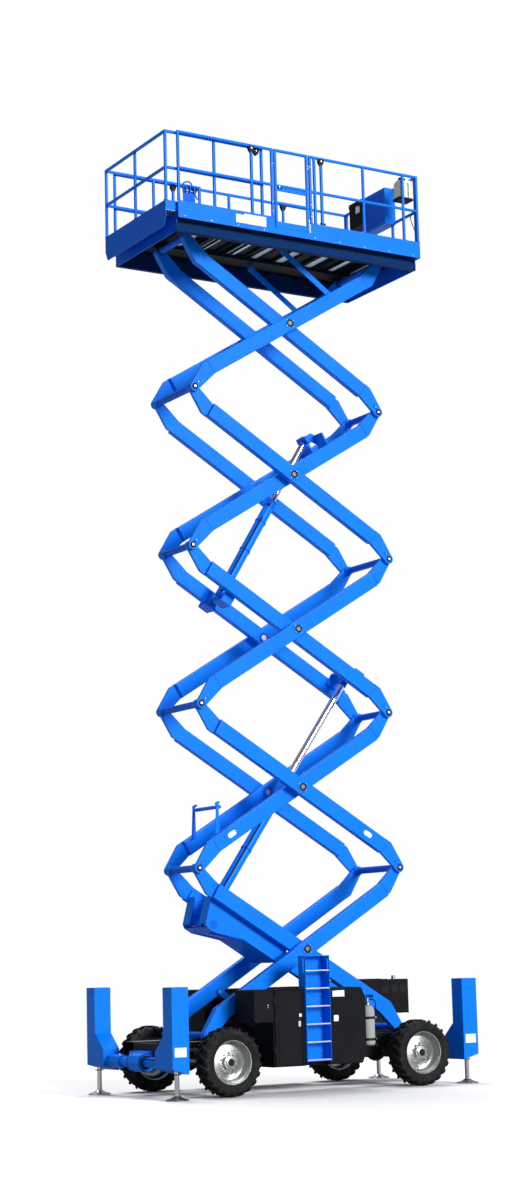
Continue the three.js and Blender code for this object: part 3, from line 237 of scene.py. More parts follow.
def enamel(name, color, roughness, dust=0.02, coat=0.02, shine=0.08):
    """Sprayed machine enamel: orange peel, faint mottling, a little dust in upright streaks."""
    s = Surface(name)
    mottle = s.spread(s.noise(2.2, 4), 0.35, 0.7)
    tone = s.mix(mottle, shade(color, 0.94), shade(color, 1.04))
    smear = s.spread(s.noise(9, 5, 0.65, (1, 1, 0.25)), 0.58, 0.8, 0, dust)
    tone = s.mix(smear, tone, (0.30, 0.31, 0.32))
    rough = s.spread(s.noise(30, 3), 0.3, 0.7, roughness - 0.06, roughness + 0.08)
    s.bump(s.noise(260, 2), 0.05, 0.0004)
    return s.finish(tone, rough, Coat_Weight=coat, Coat_Roughness=0.15, Specular_IOR_Level=shine)


def moulded(name, color, roughness, shine=0.5):
    """Moulded or powder-coated black: fine grain and dusty patches."""
    s = Surface(name)
    patches = s.spread(s.noise(5, 5, 0.6), 0.45, 0.75, 0, 0.5)
    tone = s.mix(patches, color, tuple(c + 0.006 for c in color))
    rough = s.spread(s.noise(45, 3), 0.3, 0.7, roughness - 0.08, roughness + 0.1)
    s.bump(s.cells(420), 0.18, 0.0006)
    return s.finish(tone, rough, Specular_IOR_Level=shine)


def metal(name, color, roughness, streak=(1, 1, 1), scratches=0.15):
    s = Surface(name)
    grain = s.noise(60, 4, 0.6, streak)
    tone = s.mix(s.spread(s.noise(6, 4), 0.35, 0.7), shade(color, 0.82), color)
    rough = s.spread(grain, 0.3, 0.7, max(roughness - 0.05, 0.03), roughness + scratches)
    s.bump(grain, 0.08, 0.0004)
    return s.finish(tone, rough, 1.0)


def rubber(name):
    s = Surface(name)
    dust = s.spread(s.noise(7, 6, 0.65), 0.45, 0.72, 0, 0.55)
    tone = s.mix(dust, (0.010, 0.010, 0.011), (0.032, 0.031, 0.029))
    rough = s.spread(s.noise(25, 3), 0.3, 0.7, 0.62, 0.88)
    s.bump(s.noise(150, 4), 0.35, 0.0012)
    return s.finish(tone, rough, Specular_IOR_Level=0.2)


BLUE = enamel("blue_enamel", (0.0, 0.192, 0.90), 0.40)
BLUE_DEEP = enamel("blue_enamel_deep", (0.0, 0.115, 0.72), 0.42)
# the deck-edge channel's dark navy is painted shade, for the shade under the deck's edge
CHANNEL_PAINTED_SHADE = enamel("channel_navy_painted_shade", (0.0, 0.026, 0.115), 0.6, dust=0.01, coat=0.0, shine=0.05)
BLACK = moulded("black_cover", (0.006, 0.007, 0.009), 0.55, 0.07)
BLACK_STEEL = enamel("black_steel", (0.009, 0.010, 0.012), 0.5, dust=0.02, coat=0.02, shine=0.12)
RUBBER = rubber("tyre_rubber")
SILVER = metal("silver_rim", (0.56, 0.59, 0.575), 0.25)
CHROME = metal("chrome_rod", (0.86, 0.87, 0.88), 0.08, (1, 1, 8), 0.06)
STEEL = metal("zinc_steel", (0.55, 0.56, 0.57), 0.32)
GREY = enamel("bottle_grey", (0.36, 0.38, 0.37), 0.45)
CREAM = moulded("cream_plastic", (0.74, 0.70, 0.58), 0.42)
WHITE = moulded("white_label", (0.80, 0.82, 0.83), 0.35)
FOOT = metal("worn_foot_plate", (0.50, 0.51, 0.51), 0.24)
CAST = metal("cast_block", (0.20, 0.205, 0.21), 0.55)
# the deck's underside, near-black with a blue tint: painted shade, for the shade under the deck
UNDERSIDE_PAINTED_SHADE = enamel("deck_underside_painted_shade", (0.003, 0.009, 0.014), 0.6, dust=0.01, coat=0.0, shine=0.1)
SLAT = moulded("pale_slat", (0.80, 0.92, 0.86), 0.5)


def tread_plate():
    """Raised bars, crosswise in pairs, on worn zinc plate."""
    s = Surface("deck_tread_plate")
    x, y = s.axis(0), s.axis(1)
    diagonals = s.math("ADD", x, y), s.math("SUBTRACT", x, y)
    bars = []
    for along, across in (diagonals, diagonals[::-1]):
        stripe = s.math("SINE", s.math("MULTIPLY", along, 130.0))
        gap = s.math("SINE", s.math("MULTIPLY", across, 65.0))
        bars.append(s.math("MULTIPLY", s.spread(stripe, 0.55, 0.85), s.spread(gap, 0.0, 0.3)))
    height = s.math("MAXIMUM", bars[0], bars[1])
    tone = s.mix(height, (0.22, 0.23, 0.24), (0.44, 0.45, 0.46))
    worn = s.mix(s.spread(s.noise(4, 5), 0.4, 0.75), tone, (0.30, 0.31, 0.32))
    s.bump(height, 0.7, 0.0025)
    return s.finish(worn, s.spread(s.noise(30, 3), 0.3, 0.7, 0.32, 0.5), 1.0)


TREAD = tread_plate()


# ---------------------------------------------------------------- floor
FLOOR_REACH = 90
HEADING = (0.518, 0.855)  # the camera's, over the floor
FADE = (4.0, 16.0)  # how far beyond the machine the floor turns into the backdrop


def add_floor():
    s = Surface("studio_floor")
    tree, shader = s.tree, s.shader
    # bright to the eye, dim as a reflector, so that undersides stay dark
    seen = tree.nodes.new("ShaderNodeLightPath").outputs["Is Camera Ray"]
    s.finish(s.mix(seen, (0.30, 0.30, 0.30), (0.93, 0.93, 0.93)), 0.9, Specular_IOR_Level=0.1)
    steps = [s.math("MULTIPLY", s.axis(which), HEADING[which]) for which in (0, 1)]
    far = s.spread(s.math("ADD", *steps), *FADE)
    glow = tree.nodes.new("ShaderNodeEmission")
    mix = tree.nodes.new("ShaderNodeMixShader")
    tree.links.new(far, mix.inputs["Fac"])
    tree.links.new(shader.outputs[0], mix.inputs[1])
    tree.links.new(glow.outputs[0], mix.inputs[2])
    output = tree.nodes["Material Output"]
    tree.links.new(mix.outputs[0], output.inputs["Surface"])
    mesh = bpy.data.meshes.new("floor")
    corners = [(x * FLOOR_REACH, y * FLOOR_REACH, 0) for x, y in ((-1, -1), (1, -1), (1, 1), (-1, 1))]
    mesh.from_pydata(corners, [], [(0, 1, 2, 3)])
    floor = bpy.data.objects.new("floor", mesh)
    floor.location.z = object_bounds()[0].z - 0.001
    mesh.materials.append(s.material)
    SCENE.collection.objects.link(floor)


add_floor()


# ---------------------------------------------------------------- CAD nodes refined
def refined(node, material, width=0.004):
    """A node's own shape with its flat faces made whole, its edges rounded and a finish."""
    source = NODES[node]
    mesh = source.data.copy()
    mesh.name = node + "_shape"
    bm = bmesh.new()
    bm.from_mesh(mesh)
    bmesh.ops.remove_doubles(bm, verts=bm.verts, dist=2e-5)
    bmesh.ops.dissolve_limit(bm, angle_limit=math.radians(0.6), verts=bm.verts, edges=bm.edges)
    bm.to_mesh(mesh)
    bm.free()
    mesh.materials.clear()
    mesh.materials.append(material)
    for polygon in mesh.polygons:
        polygon.material_index = 0
    piece = bpy.data.objects.new(node + "_skin", mesh)
    SCENE.collection.objects.link(piece)
    bevel = piece.modifiers.new("edges", "BEVEL")
    bevel.width, bevel.segments, bevel.limit_method = width, 2, "ANGLE"
    bevel.angle_limit = math.radians(30)
    bevel.use_clamp_overlap = True
    bevel.harden_normals = False
    smooth_faces(piece, 30)
    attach(piece, source["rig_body"])
    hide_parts(node)
    return piece


def smooth_faces(piece, degrees):
    """Smooth shading across edges of up to that many degrees, with the large faces kept flat."""
    piece.data.shade_smooth()
    piece.data.set_sharp_from_angle(angle=math.radians(degrees))
    flat = piece.modifiers.new("flat faces", "WEIGHTED_NORMAL")
    flat.keep_sharp, flat.weight = True, 90


# ---------------------------------------------------------------- shapes
HAIR = 0.00012
UP, NEAR, ACROSS, ALONG = Vector((0, 0, 1)), Vector((0, -1, 0)), Vector((0, 1, 0)), Vector((1, 0, 0))


def side_span(side, inner, outer):
    """A span across Y from distances out from the middle: side is -1 on the near side, 1 on the far one."""
    return tuple(sorted((side * inner, side * outer)))


def circle(centre, u, v, radius, count, start=0.0):
    """Points round centre in the plane of u and v."""
    for k in range(count):
        angle = start + 2 * math.pi * k / count
        yield Vector(centre) + (u * math.cos(angle) + v * math.sin(angle)) * radius


class Shape:
    """Parts of one piece, gathered in the row frame; each part carries its own material."""

    def __init__(self, soft=0.0):
        self.bm = bmesh.new()
        self.materials = []
        self.soft = soft
        self.parts = 0

    def add(self, points, faces, material, matrix=None, soft=0.0):
        verts = [self.bm.verts.new(matrix @ Vector(p) if matrix else p) for p in points]
        made = [self.bm.faces.new([verts[i] for i in face]) for face in faces]
        if material not in self.materials:
            self.materials.append(material)
        for face in made:
            face.material_index = self.materials.index(material)
        if soft:
            bmesh.ops.recalc_face_normals(self.bm, faces=made)
            edges = {edge for face in made for edge in face.edges}
            corners = [edge for edge in edges if edge.calc_face_angle(0) > math.radians(25)]
            bmesh.ops.bevel(
                self.bm, geom=corners, offset=soft, segments=2, affect="EDGES", profile=0.5,
                clamp_overlap=True, material=-1,
            )

    def step(self):
        """A hair's width that differs from part to part, so that no two parts share a plane."""
        self.parts += 1
        return self.parts * 3 % 7 * HAIR

    def box(self, low, high, material, matrix=None, soft=None):
        step = self.step()
        inset = [step if b - a > 0.005 else 0 for a, b in zip(low, high)]
        a, b, c = (value + s for value, s in zip(low, inset))
        d, e, f = (value - s for value, s in zip(high, inset))
        points = [(a, b, c), (d, b, c), (d, e, c), (a, e, c), (a, b, f), (d, b, f), (d, e, f), (a, e, f)]
        faces = [(3, 2, 1, 0), (4, 5, 6, 7), (0, 1, 5, 4), (1, 2, 6, 5), (2, 3, 7, 6), (3, 0, 4, 7)]
        self.add(points, faces, material, matrix, self.soft if soft is None else soft)

    def slab(self, side, x, y, z, material, matrix=None, soft=None):
        """A box from its spans, with y measured out from the middle towards side."""
        low, high = zip(x, side_span(side, *y), z)
        self.box(low, high, material, matrix, soft)

    def prism(self, outline, span, axis, material, matrix=None, soft=None):
        """An outline in the two axes left over, in x, y, z order, stretched over span along axis."""
        low, high = span
        n = len(outline)
        step = self.step()
        if high - low > 0.005:
            low, high = low + step, high - step
        middle = [sum(p[k] for p in outline) / n for k in (0, 1)]
        reach = max(math.dist(p, middle) for p in outline)
        shrink = 1 - step / reach
        outline = [[m + (v - m) * shrink for v, m in zip(p, middle)] for p in outline]

        def at(p, s):
            p = list(p)
            p.insert("xyz".index(axis), s)
            return p

        area = sum(outline[i - 1][0] * outline[i][1] - outline[i][0] * outline[i - 1][1] for i in range(n))
        if (area < 0) != (axis == "y"):
            outline = outline[::-1]
        points = [at(p, low) for p in outline] + [at(p, high) for p in outline]
        faces = [tuple(range(n))[::-1], tuple(range(n, 2 * n))]
        faces += [(i, (i + 1) % n, (i + 1) % n + n, i + n) for i in range(n)]
        self.add(points, faces, material, matrix, self.soft if soft is None else soft)

    def turned(self, profile, start, along, material, sides=40, closed=False):
        """(radius, distance) pairs turned about the line through start in direction along."""
        along = Vector(along).normalized()
        turn = along.to_track_quat("Z", "Y").to_matrix().to_4x4()
        matrix = Matrix.Translation(start) @ turn
        rings, points, faces = [], [], []
        for radius, distance in profile:
            if radius < 1e-6:
                rings.append([len(points)])
                points.append((0, 0, distance))
            else:
                rings.append(list(range(len(points), len(points) + sides)))
                for i in range(sides):
                    angle = 2 * math.pi * i / sides
                    points.append((radius * math.cos(angle), radius * math.sin(angle), distance))
        if closed:
            rings.append(rings[0])
        for a, b in zip(rings, rings[1:]):
            for i in range(sides):
                j = (i + 1) % sides
                quad = [a[i % len(a)], a[j % len(a)], b[j % len(b)], b[i % len(b)]]
                face = list(dict.fromkeys(quad))
                if len(face) > 2:
                    faces.append(tuple(face))
        if not closed:
            if len(rings[0]) > 1:
                faces.append(tuple(rings[0][::-1]))
            if len(rings[-1]) > 1:
                faces.append(tuple(rings[-1]))
        self.add(points, faces, material, matrix)

    def disc(self, at, along, radius, height, material, sides=40):
        self.turned([(radius, 0), (radius, height)], at, along, material, sides)

    def washer(self, at, along, outer, inner, height, material, sides=40):
        profile = [(outer, 0), (outer, height), (inner, height), (inner, 0)]
        self.turned(profile, at, along, material, sides, closed=True)

    def rod(self, start, end, radius, material, sides=28):
        start, end = Vector(start), Vector(end)
        length = (end - start).length
        self.turned([(radius, 0), (radius, length)], start, end - start, material, sides)

    def ring(self, centre, along, radius, thickness, material, sides=36, section=8):
        profile = [
            (radius + thickness * math.cos(t), thickness * math.sin(t))
            for t in (2 * math.pi * k / section for k in range(section))
        ]
        self.turned(profile, centre, along, material, sides, closed=True)

    def bolt(self, at, along, radius, height, material=STEEL):
        head = [(radius, 0), (radius, height * 0.75), (radius * 0.8, height)]
        self.turned(head, at, along, material, 6)

    def pipe(self, path, radius, material, sides=12, bend=0.0, steps=5):
        """A tube along points, with its corners rounded to bend."""
        points = [Vector(p) for p in path]
        if bend:
            points = rounded_path(points, bend, steps)
        rings, coordinates, faces = [], [], []
        normal = None
        for i, p in enumerate(points):
            before, after = points[max(i - 1, 0)], points[min(i + 1, len(points) - 1)]
            tangent = (after - before).normalized()
            if normal is None:
                normal = tangent.orthogonal().normalized()
            normal = (normal - tangent * normal.dot(tangent)).normalized()
            side = tangent.cross(normal)
            reach = radius
            if bend and 0 < i < len(points) - 1:
                half = (p - before).angle(after - p, 0) / 2
                reach *= min(1 / max(math.cos(half), 0.5), 1.02)
            rings.append(range(len(coordinates), len(coordinates) + sides))
            for k in range(sides):
                angle = 2 * math.pi * k / sides
                coordinates.append(p + (normal * math.cos(angle) + side * math.sin(angle)) * reach)
        for a, b in zip(rings, rings[1:]):
            faces += [(a[k], a[(k + 1) % sides], b[(k + 1) % sides], b[k]) for k in range(sides)]
        faces += [tuple(rings[0])[::-1], tuple(rings[-1])]
        self.add([tuple(c) for c in coordinates], faces, material)

    def piece(self, name, body, replaces=(), smooth=32):
        mesh = bpy.data.meshes.new(name)
        bmesh.ops.recalc_face_normals(self.bm, faces=self.bm.faces)
        self.bm.to_mesh(mesh)
        self.bm.free()
        for material in self.materials:
            mesh.materials.append(material)
        made = bpy.data.objects.new(name, mesh)
        SCENE.collection.objects.link(made)
        smooth_faces(made, smooth)
        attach(made, body)
        if replaces:
            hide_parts(*replaces)

    def skin(self, node, smooth=32):
        """The piece that stands in for a node."""
        self.piece(f"{node}_skin", NODES[node]["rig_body"], [node], smooth)


def rounded_path(points, bend, steps):
    """The points with each corner replaced by a curve that starts bend before it, where there is room."""
    path = [points[0]]
    for before, corner, after in zip(points, points[1:], points[2:]):
        back, on = before - corner, after - corner
        reach = min(bend, back.length * 0.45, on.length * 0.45)
        start, end = corner + back.normalized() * reach, corner + on.normalized() * reach
        for k in range(steps + 1):
            t = k / steps
            path.append(start * (1 - t) ** 2 + corner * 2 * t * (1 - t) + end * t * t)
    path.append(points[-1])
    return path


def low_high(node):
    low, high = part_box(node)
    return Vector(low), Vector(high)


def pivot(name):
    return Vector(next(joint["pos_m"] for joint in frame["joints"] if joint["name"] == name))


# ---------------------------------------------------------------- scissor frames
LEVELS = 5
CENTRES = [pivot(f"middle_pin_{k}") for k in range(1, LEVELS + 1)]
ELBOW = pivot("rear_elbow_1") - CENTRES[0]
REST_ANGLE = math.atan2(ELBOW.z, ELBOW.x)
PIN_RISE, ARM_DEPTH, ARM_WIDTH = 0.117, 0.2, 0.1
ARM_REACH = math.sqrt(ELBOW.length ** 2 - PIN_RISE ** 2)
TUBE_LEAN = math.atan2(PIN_RISE, ARM_REACH)
TUBE_END = ARM_REACH - 0.358
PLATE_ROOT = TUBE_END - 0.014  # where an end plate starts, inside its tube
OUTER_Y, INNER_Y = 0.505, 0.370
LAP_GAP = 0.006
BOSS = 0.0638  # just under the CAD boss, so that it stays off the deck's front plate at the lowest pose


def tangent(corner, pin, turn):
    """The angle round the pin at which a line from the corner touches its boss."""
    dx, dz = corner[0] - pin[0], corner[1] - pin[1]
    return math.atan2(dz, dx) + turn * math.acos(BOSS / math.hypot(dx, dz))


def end_outline(rise, end):
    """An end plate in the arm's own x and z, from inside the tube to the round boss at the pin."""
    half = ARM_DEPTH / 2 - 0.001
    pin = (ARM_REACH, PIN_RISE)
    back, front = (ARM_REACH - 0.278, -half), (ARM_REACH - 0.468, half)
    start, stop = tangent(back, pin, 1), tangent(front, pin, -1)
    sweep = (stop - start) % (2 * math.pi)
    steps = 14
    points = [(PLATE_ROOT, -half), back]
    for i in range(steps + 1):
        angle = start + sweep * i / steps
        points.append((pin[0] + BOSS * math.cos(angle), pin[1] + BOSS * math.sin(angle)))
    points.append((PLATE_ROOT, half))
    return [(rise * end * u, end * v) for u, v in points]


def frame_matrix(level, rise):
    turn = Matrix.Rotation(-rise * (REST_ANGLE - TUBE_LEAN), 4, "Y")
    return Matrix.Translation(CENTRES[level - 1]) @ turn


class Arm:
    """Where one frame's two arms lie; rise is 1 where the rear end is up, and -1 where the front end is."""

    def __init__(self, level, rise):
        self.rise = rise
        self.matrix = frame_matrix(level, rise)
        self.outside = (rise > 0) == (level % 2 == 1)
        self.y = OUTER_Y if self.outside else INNER_Y
        self.inner, self.outer = self.y - ARM_WIDTH / 2, self.y + ARM_WIDTH / 2
        self.slides = {1: level == LEVELS, -1: level == 1}

    def pin(self, end):
        """The point between the two arms at the upper (1) or the lower (-1) end's pin."""
        return self.matrix @ Vector((self.rise * end * ARM_REACH, 0, end * PIN_RISE))


def weld(shape, points, matrix, radius=0.004):
    shape.pipe([matrix @ Vector(p) for p in points], radius, BLUE_DEEP, 6)


def pin_head(shape, at, side):
    """A pin's end: its washer, its dark head and a small bright steel centre that is a painted glint."""
    out = (0, side, 0)
    shape.disc(at, out, 0.042, 0.004, BLACK_STEEL, 32)
    shape.turned([(0.032, 0), (0.032, 0.008), (0.026, 0.010)], at, out, BLACK_STEEL, 32)
    # the small steel centre is a painted glint on the dark head
    shape.turned([(0.018, 0.009), (0.018, 0.0115), (0.014, 0.0125)], at, out, STEEL, 24)


def arm_end(shape, arm, side, end):
    """An arm's end plate, its seam, and what turns or slides there."""
    tube = side_span(side, arm.inner, arm.outer)
    if arm.slides[end]:
        plate = tube
    elif end > 0:
        plate = side_span(side, arm.inner, arm.y - LAP_GAP / 2)
    else:
        plate = side_span(side, arm.y + LAP_GAP / 2, arm.outer)
    shape.prism(end_outline(arm.rise, end), plate, "y", BLUE, arm.matrix)
    pin = arm.pin(end)
    # the seam where the plate runs into the tube
    seam, face, half = arm.rise * end * TUBE_END, side * arm.outer, ARM_DEPTH / 2
    for z in (-half, half):
        weld(shape, [(seam, tube[0] + 0.01, z), (seam, tube[1] - 0.01, z)], arm.matrix)
    weld(shape, [(seam, face, -half + 0.01), (seam, face, half - 0.01)], arm.matrix, 0.0035)
    if arm.slides[end]:
        # the round pad that runs on the beam or under the deck
        pad = [(0.056, 0), (0.062, 0.004), (0.062, 0.027), (0.056, 0.031), (0.046, 0.031), (0.046, 0)]
        start = (pin.x, side * (arm.inner - 0.001), pin.z)
        shape.turned(pad, start, (0, -side, 0), BLACK_STEEL, 40, closed=True)
    elif end > 0:
        # a bearing ring round the bore, on the inner face
        start = (pin.x, side * (arm.inner + 0.001), pin.z)
        shape.washer(start, (0, -side, 0), 0.05, 0.03, 0.008, BLUE_DEEP, 32)
    else:
        # the elbow pin, through the lapped plate of the arm below, and its keeper with a bolt
        start = (pin.x, side * (arm.inner - 0.03), pin.z)
        shape.rod(start, (pin.x, side * (arm.outer + 0.003), pin.z), 0.025, STEEL)
        pin_head(shape, (pin.x, face, pin.z), side)
        place = (arm.rise * end * (ARM_REACH - 0.075), 0, end * (PIN_RISE - 0.03))
        keeper = arm.matrix @ Matrix.Translation(place)
        y = (arm.outer - 0.001, arm.outer + 0.007)
        shape.slab(side, (-0.045, 0.045), y, (-0.014, 0.014), BLUE_DEEP, keeper)
        shape.bolt(keeper @ Vector((0, side * y[1], 0)), (0, side, 0), 0.009, 0.006)


def middle_pivot(shape, arm, side):
    """The pivot in the arms' middle: the outer arm carries the pin, the inner arm a collar each side."""
    x, _, z = arm.matrix.translation
    if not arm.outside:
        for face, way in ((arm.outer, side), (arm.inner, -side)):
            shape.washer((x, side * face, z), (0, way, 0), 0.07, 0.042, 0.012, BLUE_DEEP)
        return
    shape.rod((x, side * (INNER_Y - ARM_WIDTH / 2), z), (x, side * (arm.outer + 0.002), z), 0.04, STEEL)
    out, start = Vector((0, side, 0)), (x, side * (arm.outer - 0.001), z)
    shape.turned([(0.074, 0), (0.074, 0.006), (0.068, 0.008)], start, out, BLUE, 40)
    cap = [(0.054, 0.008), (0.054, 0.0105), (0.048, 0.0125), (0.030, 0.0125), (0.030, 0.008)]
    shape.turned(cap, start, out, BLACK_STEEL, 40, closed=True)
    shape.turned([(0.030, 0.006), (0.030, 0.0105), (0.024, 0.0115)], start, out, CAST, 32)
    for at in circle((x, side * (arm.outer + 0.005), z), ALONG, UP, 0.062, 4, math.pi / 4):
        shape.bolt(at, out, 0.006, 0.005)
    shape.disc((x, side * arm.inner, z), (0, -side, 0), 0.07, 0.01, BLUE_DEEP)


def oval_label(shape, arm):
    """A blank sticker with round ends on the near arm's outer face."""
    middle = -1.17 if arm.rise > 0 else 1.16
    radius, points = 0.034, 24
    oval = []
    for k in range(points):
        angle = 2 * math.pi * (k + 0.5) / points
        shift = math.copysign(radius, math.cos(angle))
        oval.append((middle + shift + radius * math.cos(angle), radius * math.sin(angle)))
    shape.prism(oval, (-arm.outer - 0.0012, -arm.outer + 0.001), "y", WHITE, arm.matrix, soft=0)


def add_frame(level, rise):
    arm = Arm(level, rise)
    shape = Shape(soft=0.003)
    half = ARM_DEPTH / 2
    for side in (-1, 1):
        y = (arm.inner, arm.outer)
        shape.slab(side, (-TUBE_END, TUBE_END), y, (-half, half), BLUE, arm.matrix, soft=0.013)
        for end in (1, -1):
            arm_end(shape, arm, side, end)
        middle_pivot(shape, arm, side)
    # cross tubes
    for end in (1, -1) if level == 1 else (1, ):
        pin = arm.pin(end)
        shape.rod((pin.x, -arm.inner, pin.z), (pin.x, arm.inner, pin.z), 0.045, BLUE_DEEP, 36)
        for side in (-1, 1):
            shape.ring((pin.x, side * (arm.inner - 0.002), pin.z), ACROSS, 0.047, 0.006, BLUE_DEEP)
            shape.disc((pin.x, side * arm.inner, pin.z), (0, -side, 0), 0.062, 0.03, BLUE)
    if level == 2:
        oval_label(shape, arm)
    if (level, rise) in FRAME_EXTRAS:
        FRAME_EXTRAS[level, rise](shape, arm)
    shape.skin(("rear" if rise > 0 else "front") + f"_rising_frame_{level}")


# the pieces of a frame that carry a cylinder, in the arm's own x and z
def from_pin_line(rise, along, across):
    lean = rise * TUBE_LEAN
    sine, cosine = math.sin(lean), math.cos(lean)
    return along * cosine - across * sine, along * sine + across * cosine


CLEAR_Y, ARM_INSIDE_Y = 0.314, 0.322
LOWER_BASE, LOWER_EYE = (-1.2, -0.440), (1.2, 0.150)
UPPER_BASE, UPPER_EYE = (-0.970, -0.187), (0.809, 0.209)
EAR_Y = (0.088, 0.114)


def cradle(shape, arm):
    """The boxed trough under the lowest inner arms, with the lower cylinder's base pin across it."""
    matrix = arm.matrix
    x, z = from_pin_line(-1, *LOWER_BASE)
    deep, shallow, thick = z - 0.075, -0.300, 0.012
    inside, outside = 0.286, 0.306
    wall = [
        (x - 0.210, -0.06), (-0.13, -0.06), (-0.13, shallow + 0.03), (-0.17, shallow), (-0.76, shallow),
        (x + 0.06, deep), (x - 0.06, deep), (x - 0.11, z - 0.04),
    ]
    for side in (-1, 1):
        out = (0, side, 0)
        shape.prism(wall, side_span(side, inside, outside), "y", BLUE, matrix)
        shape.slab(side, (x - 0.21, -0.13), (inside, ARM_INSIDE_Y), (-0.07, 0.05), BLUE, matrix)
        # the base pin's boss, thin enough to pass the chassis beam when the lift is down
        shape.disc(matrix @ Vector((x, side * outside, z)), out, 0.055, 0.0025, BLUE_DEEP, 36)
        for k in range(6):
            at = matrix @ Vector((-1.05 + k * 0.16, side * outside, -0.10))
            shape.bolt(at, out, 0.011, 0.007)
        weld(shape, [(x - 0.2, side * 0.312, -0.07), (-0.14, side * 0.312, -0.07)], matrix)
    plate = [(x - 0.06, deep), (x + 0.06, deep), (x + 0.06, deep + thick), (x - 0.06, deep + thick)]
    shape.prism(plate, (-outside, outside), "y", BLUE, matrix)
    sloping = [(x + 0.06, deep), (-0.76, shallow), (-0.755, shallow + thick), (x + 0.06, deep + thick)]
    shape.prism(sloping, (-0.1, 0.1), "y", BLUE_DEEP, matrix)
    floor = [(-0.76, shallow), (-0.17, shallow), (-0.17, shallow + thick), (-0.76, shallow + thick)]
    shape.prism(floor, (-outside, outside), "y", BLUE, matrix)
    # the closing plate at the trough's front end, open in the middle for the cylinder to swing
    front = [(x - 0.21, -0.06), (x - 0.11, z - 0.04), (x - 0.098, z - 0.04), (x - 0.198, -0.06)]
    for side in (-1, 1):
        shape.prism(front, side_span(side, 0.12, 0.3), "y", BLUE, matrix)
    shape.rod(matrix @ Vector((x, -0.29, z)), matrix @ Vector((x, 0.29, z)), 0.03, STEEL)


def ear_pair(shape, matrix, x, ear_z, hanger_z):
    """An ear each side of a cylinder's eye, on a hanger that reaches in from the arm."""
    sign = -1 if hanger_z[0] < 0 else 1
    low, high = ear_z
    ear = [
        (x - 0.06, low), (x + 0.06, low), (x + 0.06, high - 0.03), (x + 0.03, high), (x - 0.03, high),
        (x - 0.06, high - 0.03),
    ]
    if sign > 0:
        ear = [(a, low + high - b) for a, b in ear]
    width = (x - 0.08, x + 0.08)
    for side in (-1, 1):
        shape.prism(ear, side_span(side, *EAR_Y), "y", BLUE, matrix)
        shape.slab(side, width, (EAR_Y[0], CLEAR_Y), hanger_z, BLUE, matrix)
        through = (min(0, *hanger_z), max(0, *hanger_z))
        shape.slab(side, width, (CLEAR_Y - 0.03, CLEAR_Y), through, BLUE, matrix)
        shape.slab(side, width, (CLEAR_Y - 0.001, ARM_INSIDE_Y), side_span(sign, 0, 0.08), BLUE, matrix)


def cylinder_ears(shape, arm):
    matrix = arm.matrix
    x, z = from_pin_line(-1, *LOWER_EYE)
    ear_pair(shape, matrix, x, (z - 0.05, z + 0.098), (z + 0.07, z + 0.098))
    x, z = from_pin_line(-1, *UPPER_BASE)
    ear_pair(shape, matrix, x, (z - 0.098, z + 0.05), (z - 0.098, z - 0.07))
    shape.rod(matrix @ Vector((x, -EAR_Y[1], z)), matrix @ Vector((x, EAR_Y[1], z)), 0.03, STEEL)


def eye_ears(shape, arm):
    """The upper cylinder's ears, on a plate that stands behind its eye."""
    x, z = from_pin_line(1, *UPPER_EYE)
    back = (x + 0.074, x + 0.098)
    ear = [
        (x - 0.06, z - 0.03), (x - 0.06, z + 0.06), (x + 0.06, z + 0.06), (back[1], z + 0.01),
        (back[1], z - 0.16), (x + 0.02, z - 0.06),
    ]
    for side in (-1, 1):
        shape.prism(ear, side_span(side, *EAR_Y), "y", BLUE, arm.matrix)
        shape.slab(side, back, (EAR_Y[0], CLEAR_Y), (-0.08, z + 0.01), BLUE, arm.matrix)
        shape.slab(side, back, (CLEAR_Y - 0.001, ARM_INSIDE_Y), (-0.08, 0.08), BLUE, arm.matrix)


def hose_guide(shape, arm):
    """A crossbar between the arms, held up by two sloping legs."""
    matrix = arm.matrix
    foot, top = 0.12 - TUBE_END, 0.37 - TUBE_END
    foot_z, high = 0.06, 0.43
    leg = [(foot - 0.025, foot_z), (foot + 0.055, foot_z), (top + 0.02, high), (top - 0.02, high)]
    narrow = [(a + inward, b) for (a, b), inward in zip(leg, (0.012, -0.012, -0.012, 0.012))]
    for side in (-1, 1):
        shape.prism(leg, side_span(side, CLEAR_Y - 0.012, CLEAR_Y), "y", BLUE, matrix)
        shape.prism(narrow, side_span(side, CLEAR_Y - 0.03, CLEAR_Y - 0.012), "y", BLUE_DEEP, matrix)
        y = (CLEAR_Y - 0.001, ARM_INSIDE_Y)
        shape.slab(side, (foot - 0.02, foot + 0.05), y, (foot_z, 0.095), BLUE, matrix)
        y = (CLEAR_Y - 0.04, CLEAR_Y)
        shape.slab(side, (top - 0.028, top + 0.028), y, (high - 0.03, high), BLUE_DEEP, matrix)
    low, high = (top - 0.02, 0.001 - CLEAR_Y, high - 0.09), (top + 0.02, CLEAR_Y - 0.001, high - 0.05)
    shape.box(low, high, BLUE, matrix)


def link_pins(end):
    """The pins of the two centring links, halfway along the arms."""
    def add(shape, arm):
        at = arm.matrix @ Vector((arm.rise * end * ARM_REACH / 2, 0, end * PIN_RISE / 2))
        for side in (-1, 1):
            shape.rod((at.x, side * 0.425, at.z), (at.x, side * 0.463, at.z), 0.02, STEEL)
    return add


FRAME_EXTRAS = {
    (1, 1): link_pins(-1), (1, -1): cradle, (2, 1): hose_guide, (3, -1): cylinder_ears, (4, 1): eye_ears,
    (5, 1): link_pins(1),
}
for level in range(1, LEVELS + 1):
    for rise in (1, -1):
        add_frame(level, rise)


# ---------------------------------------------------------------- lift cylinders
CYLINDER_RADIUS, PIN_BORE = 0.075, 0.0315
PORT_TURN = math.radians(60)  # how far the ports are turned from the cylinder's back towards the near side


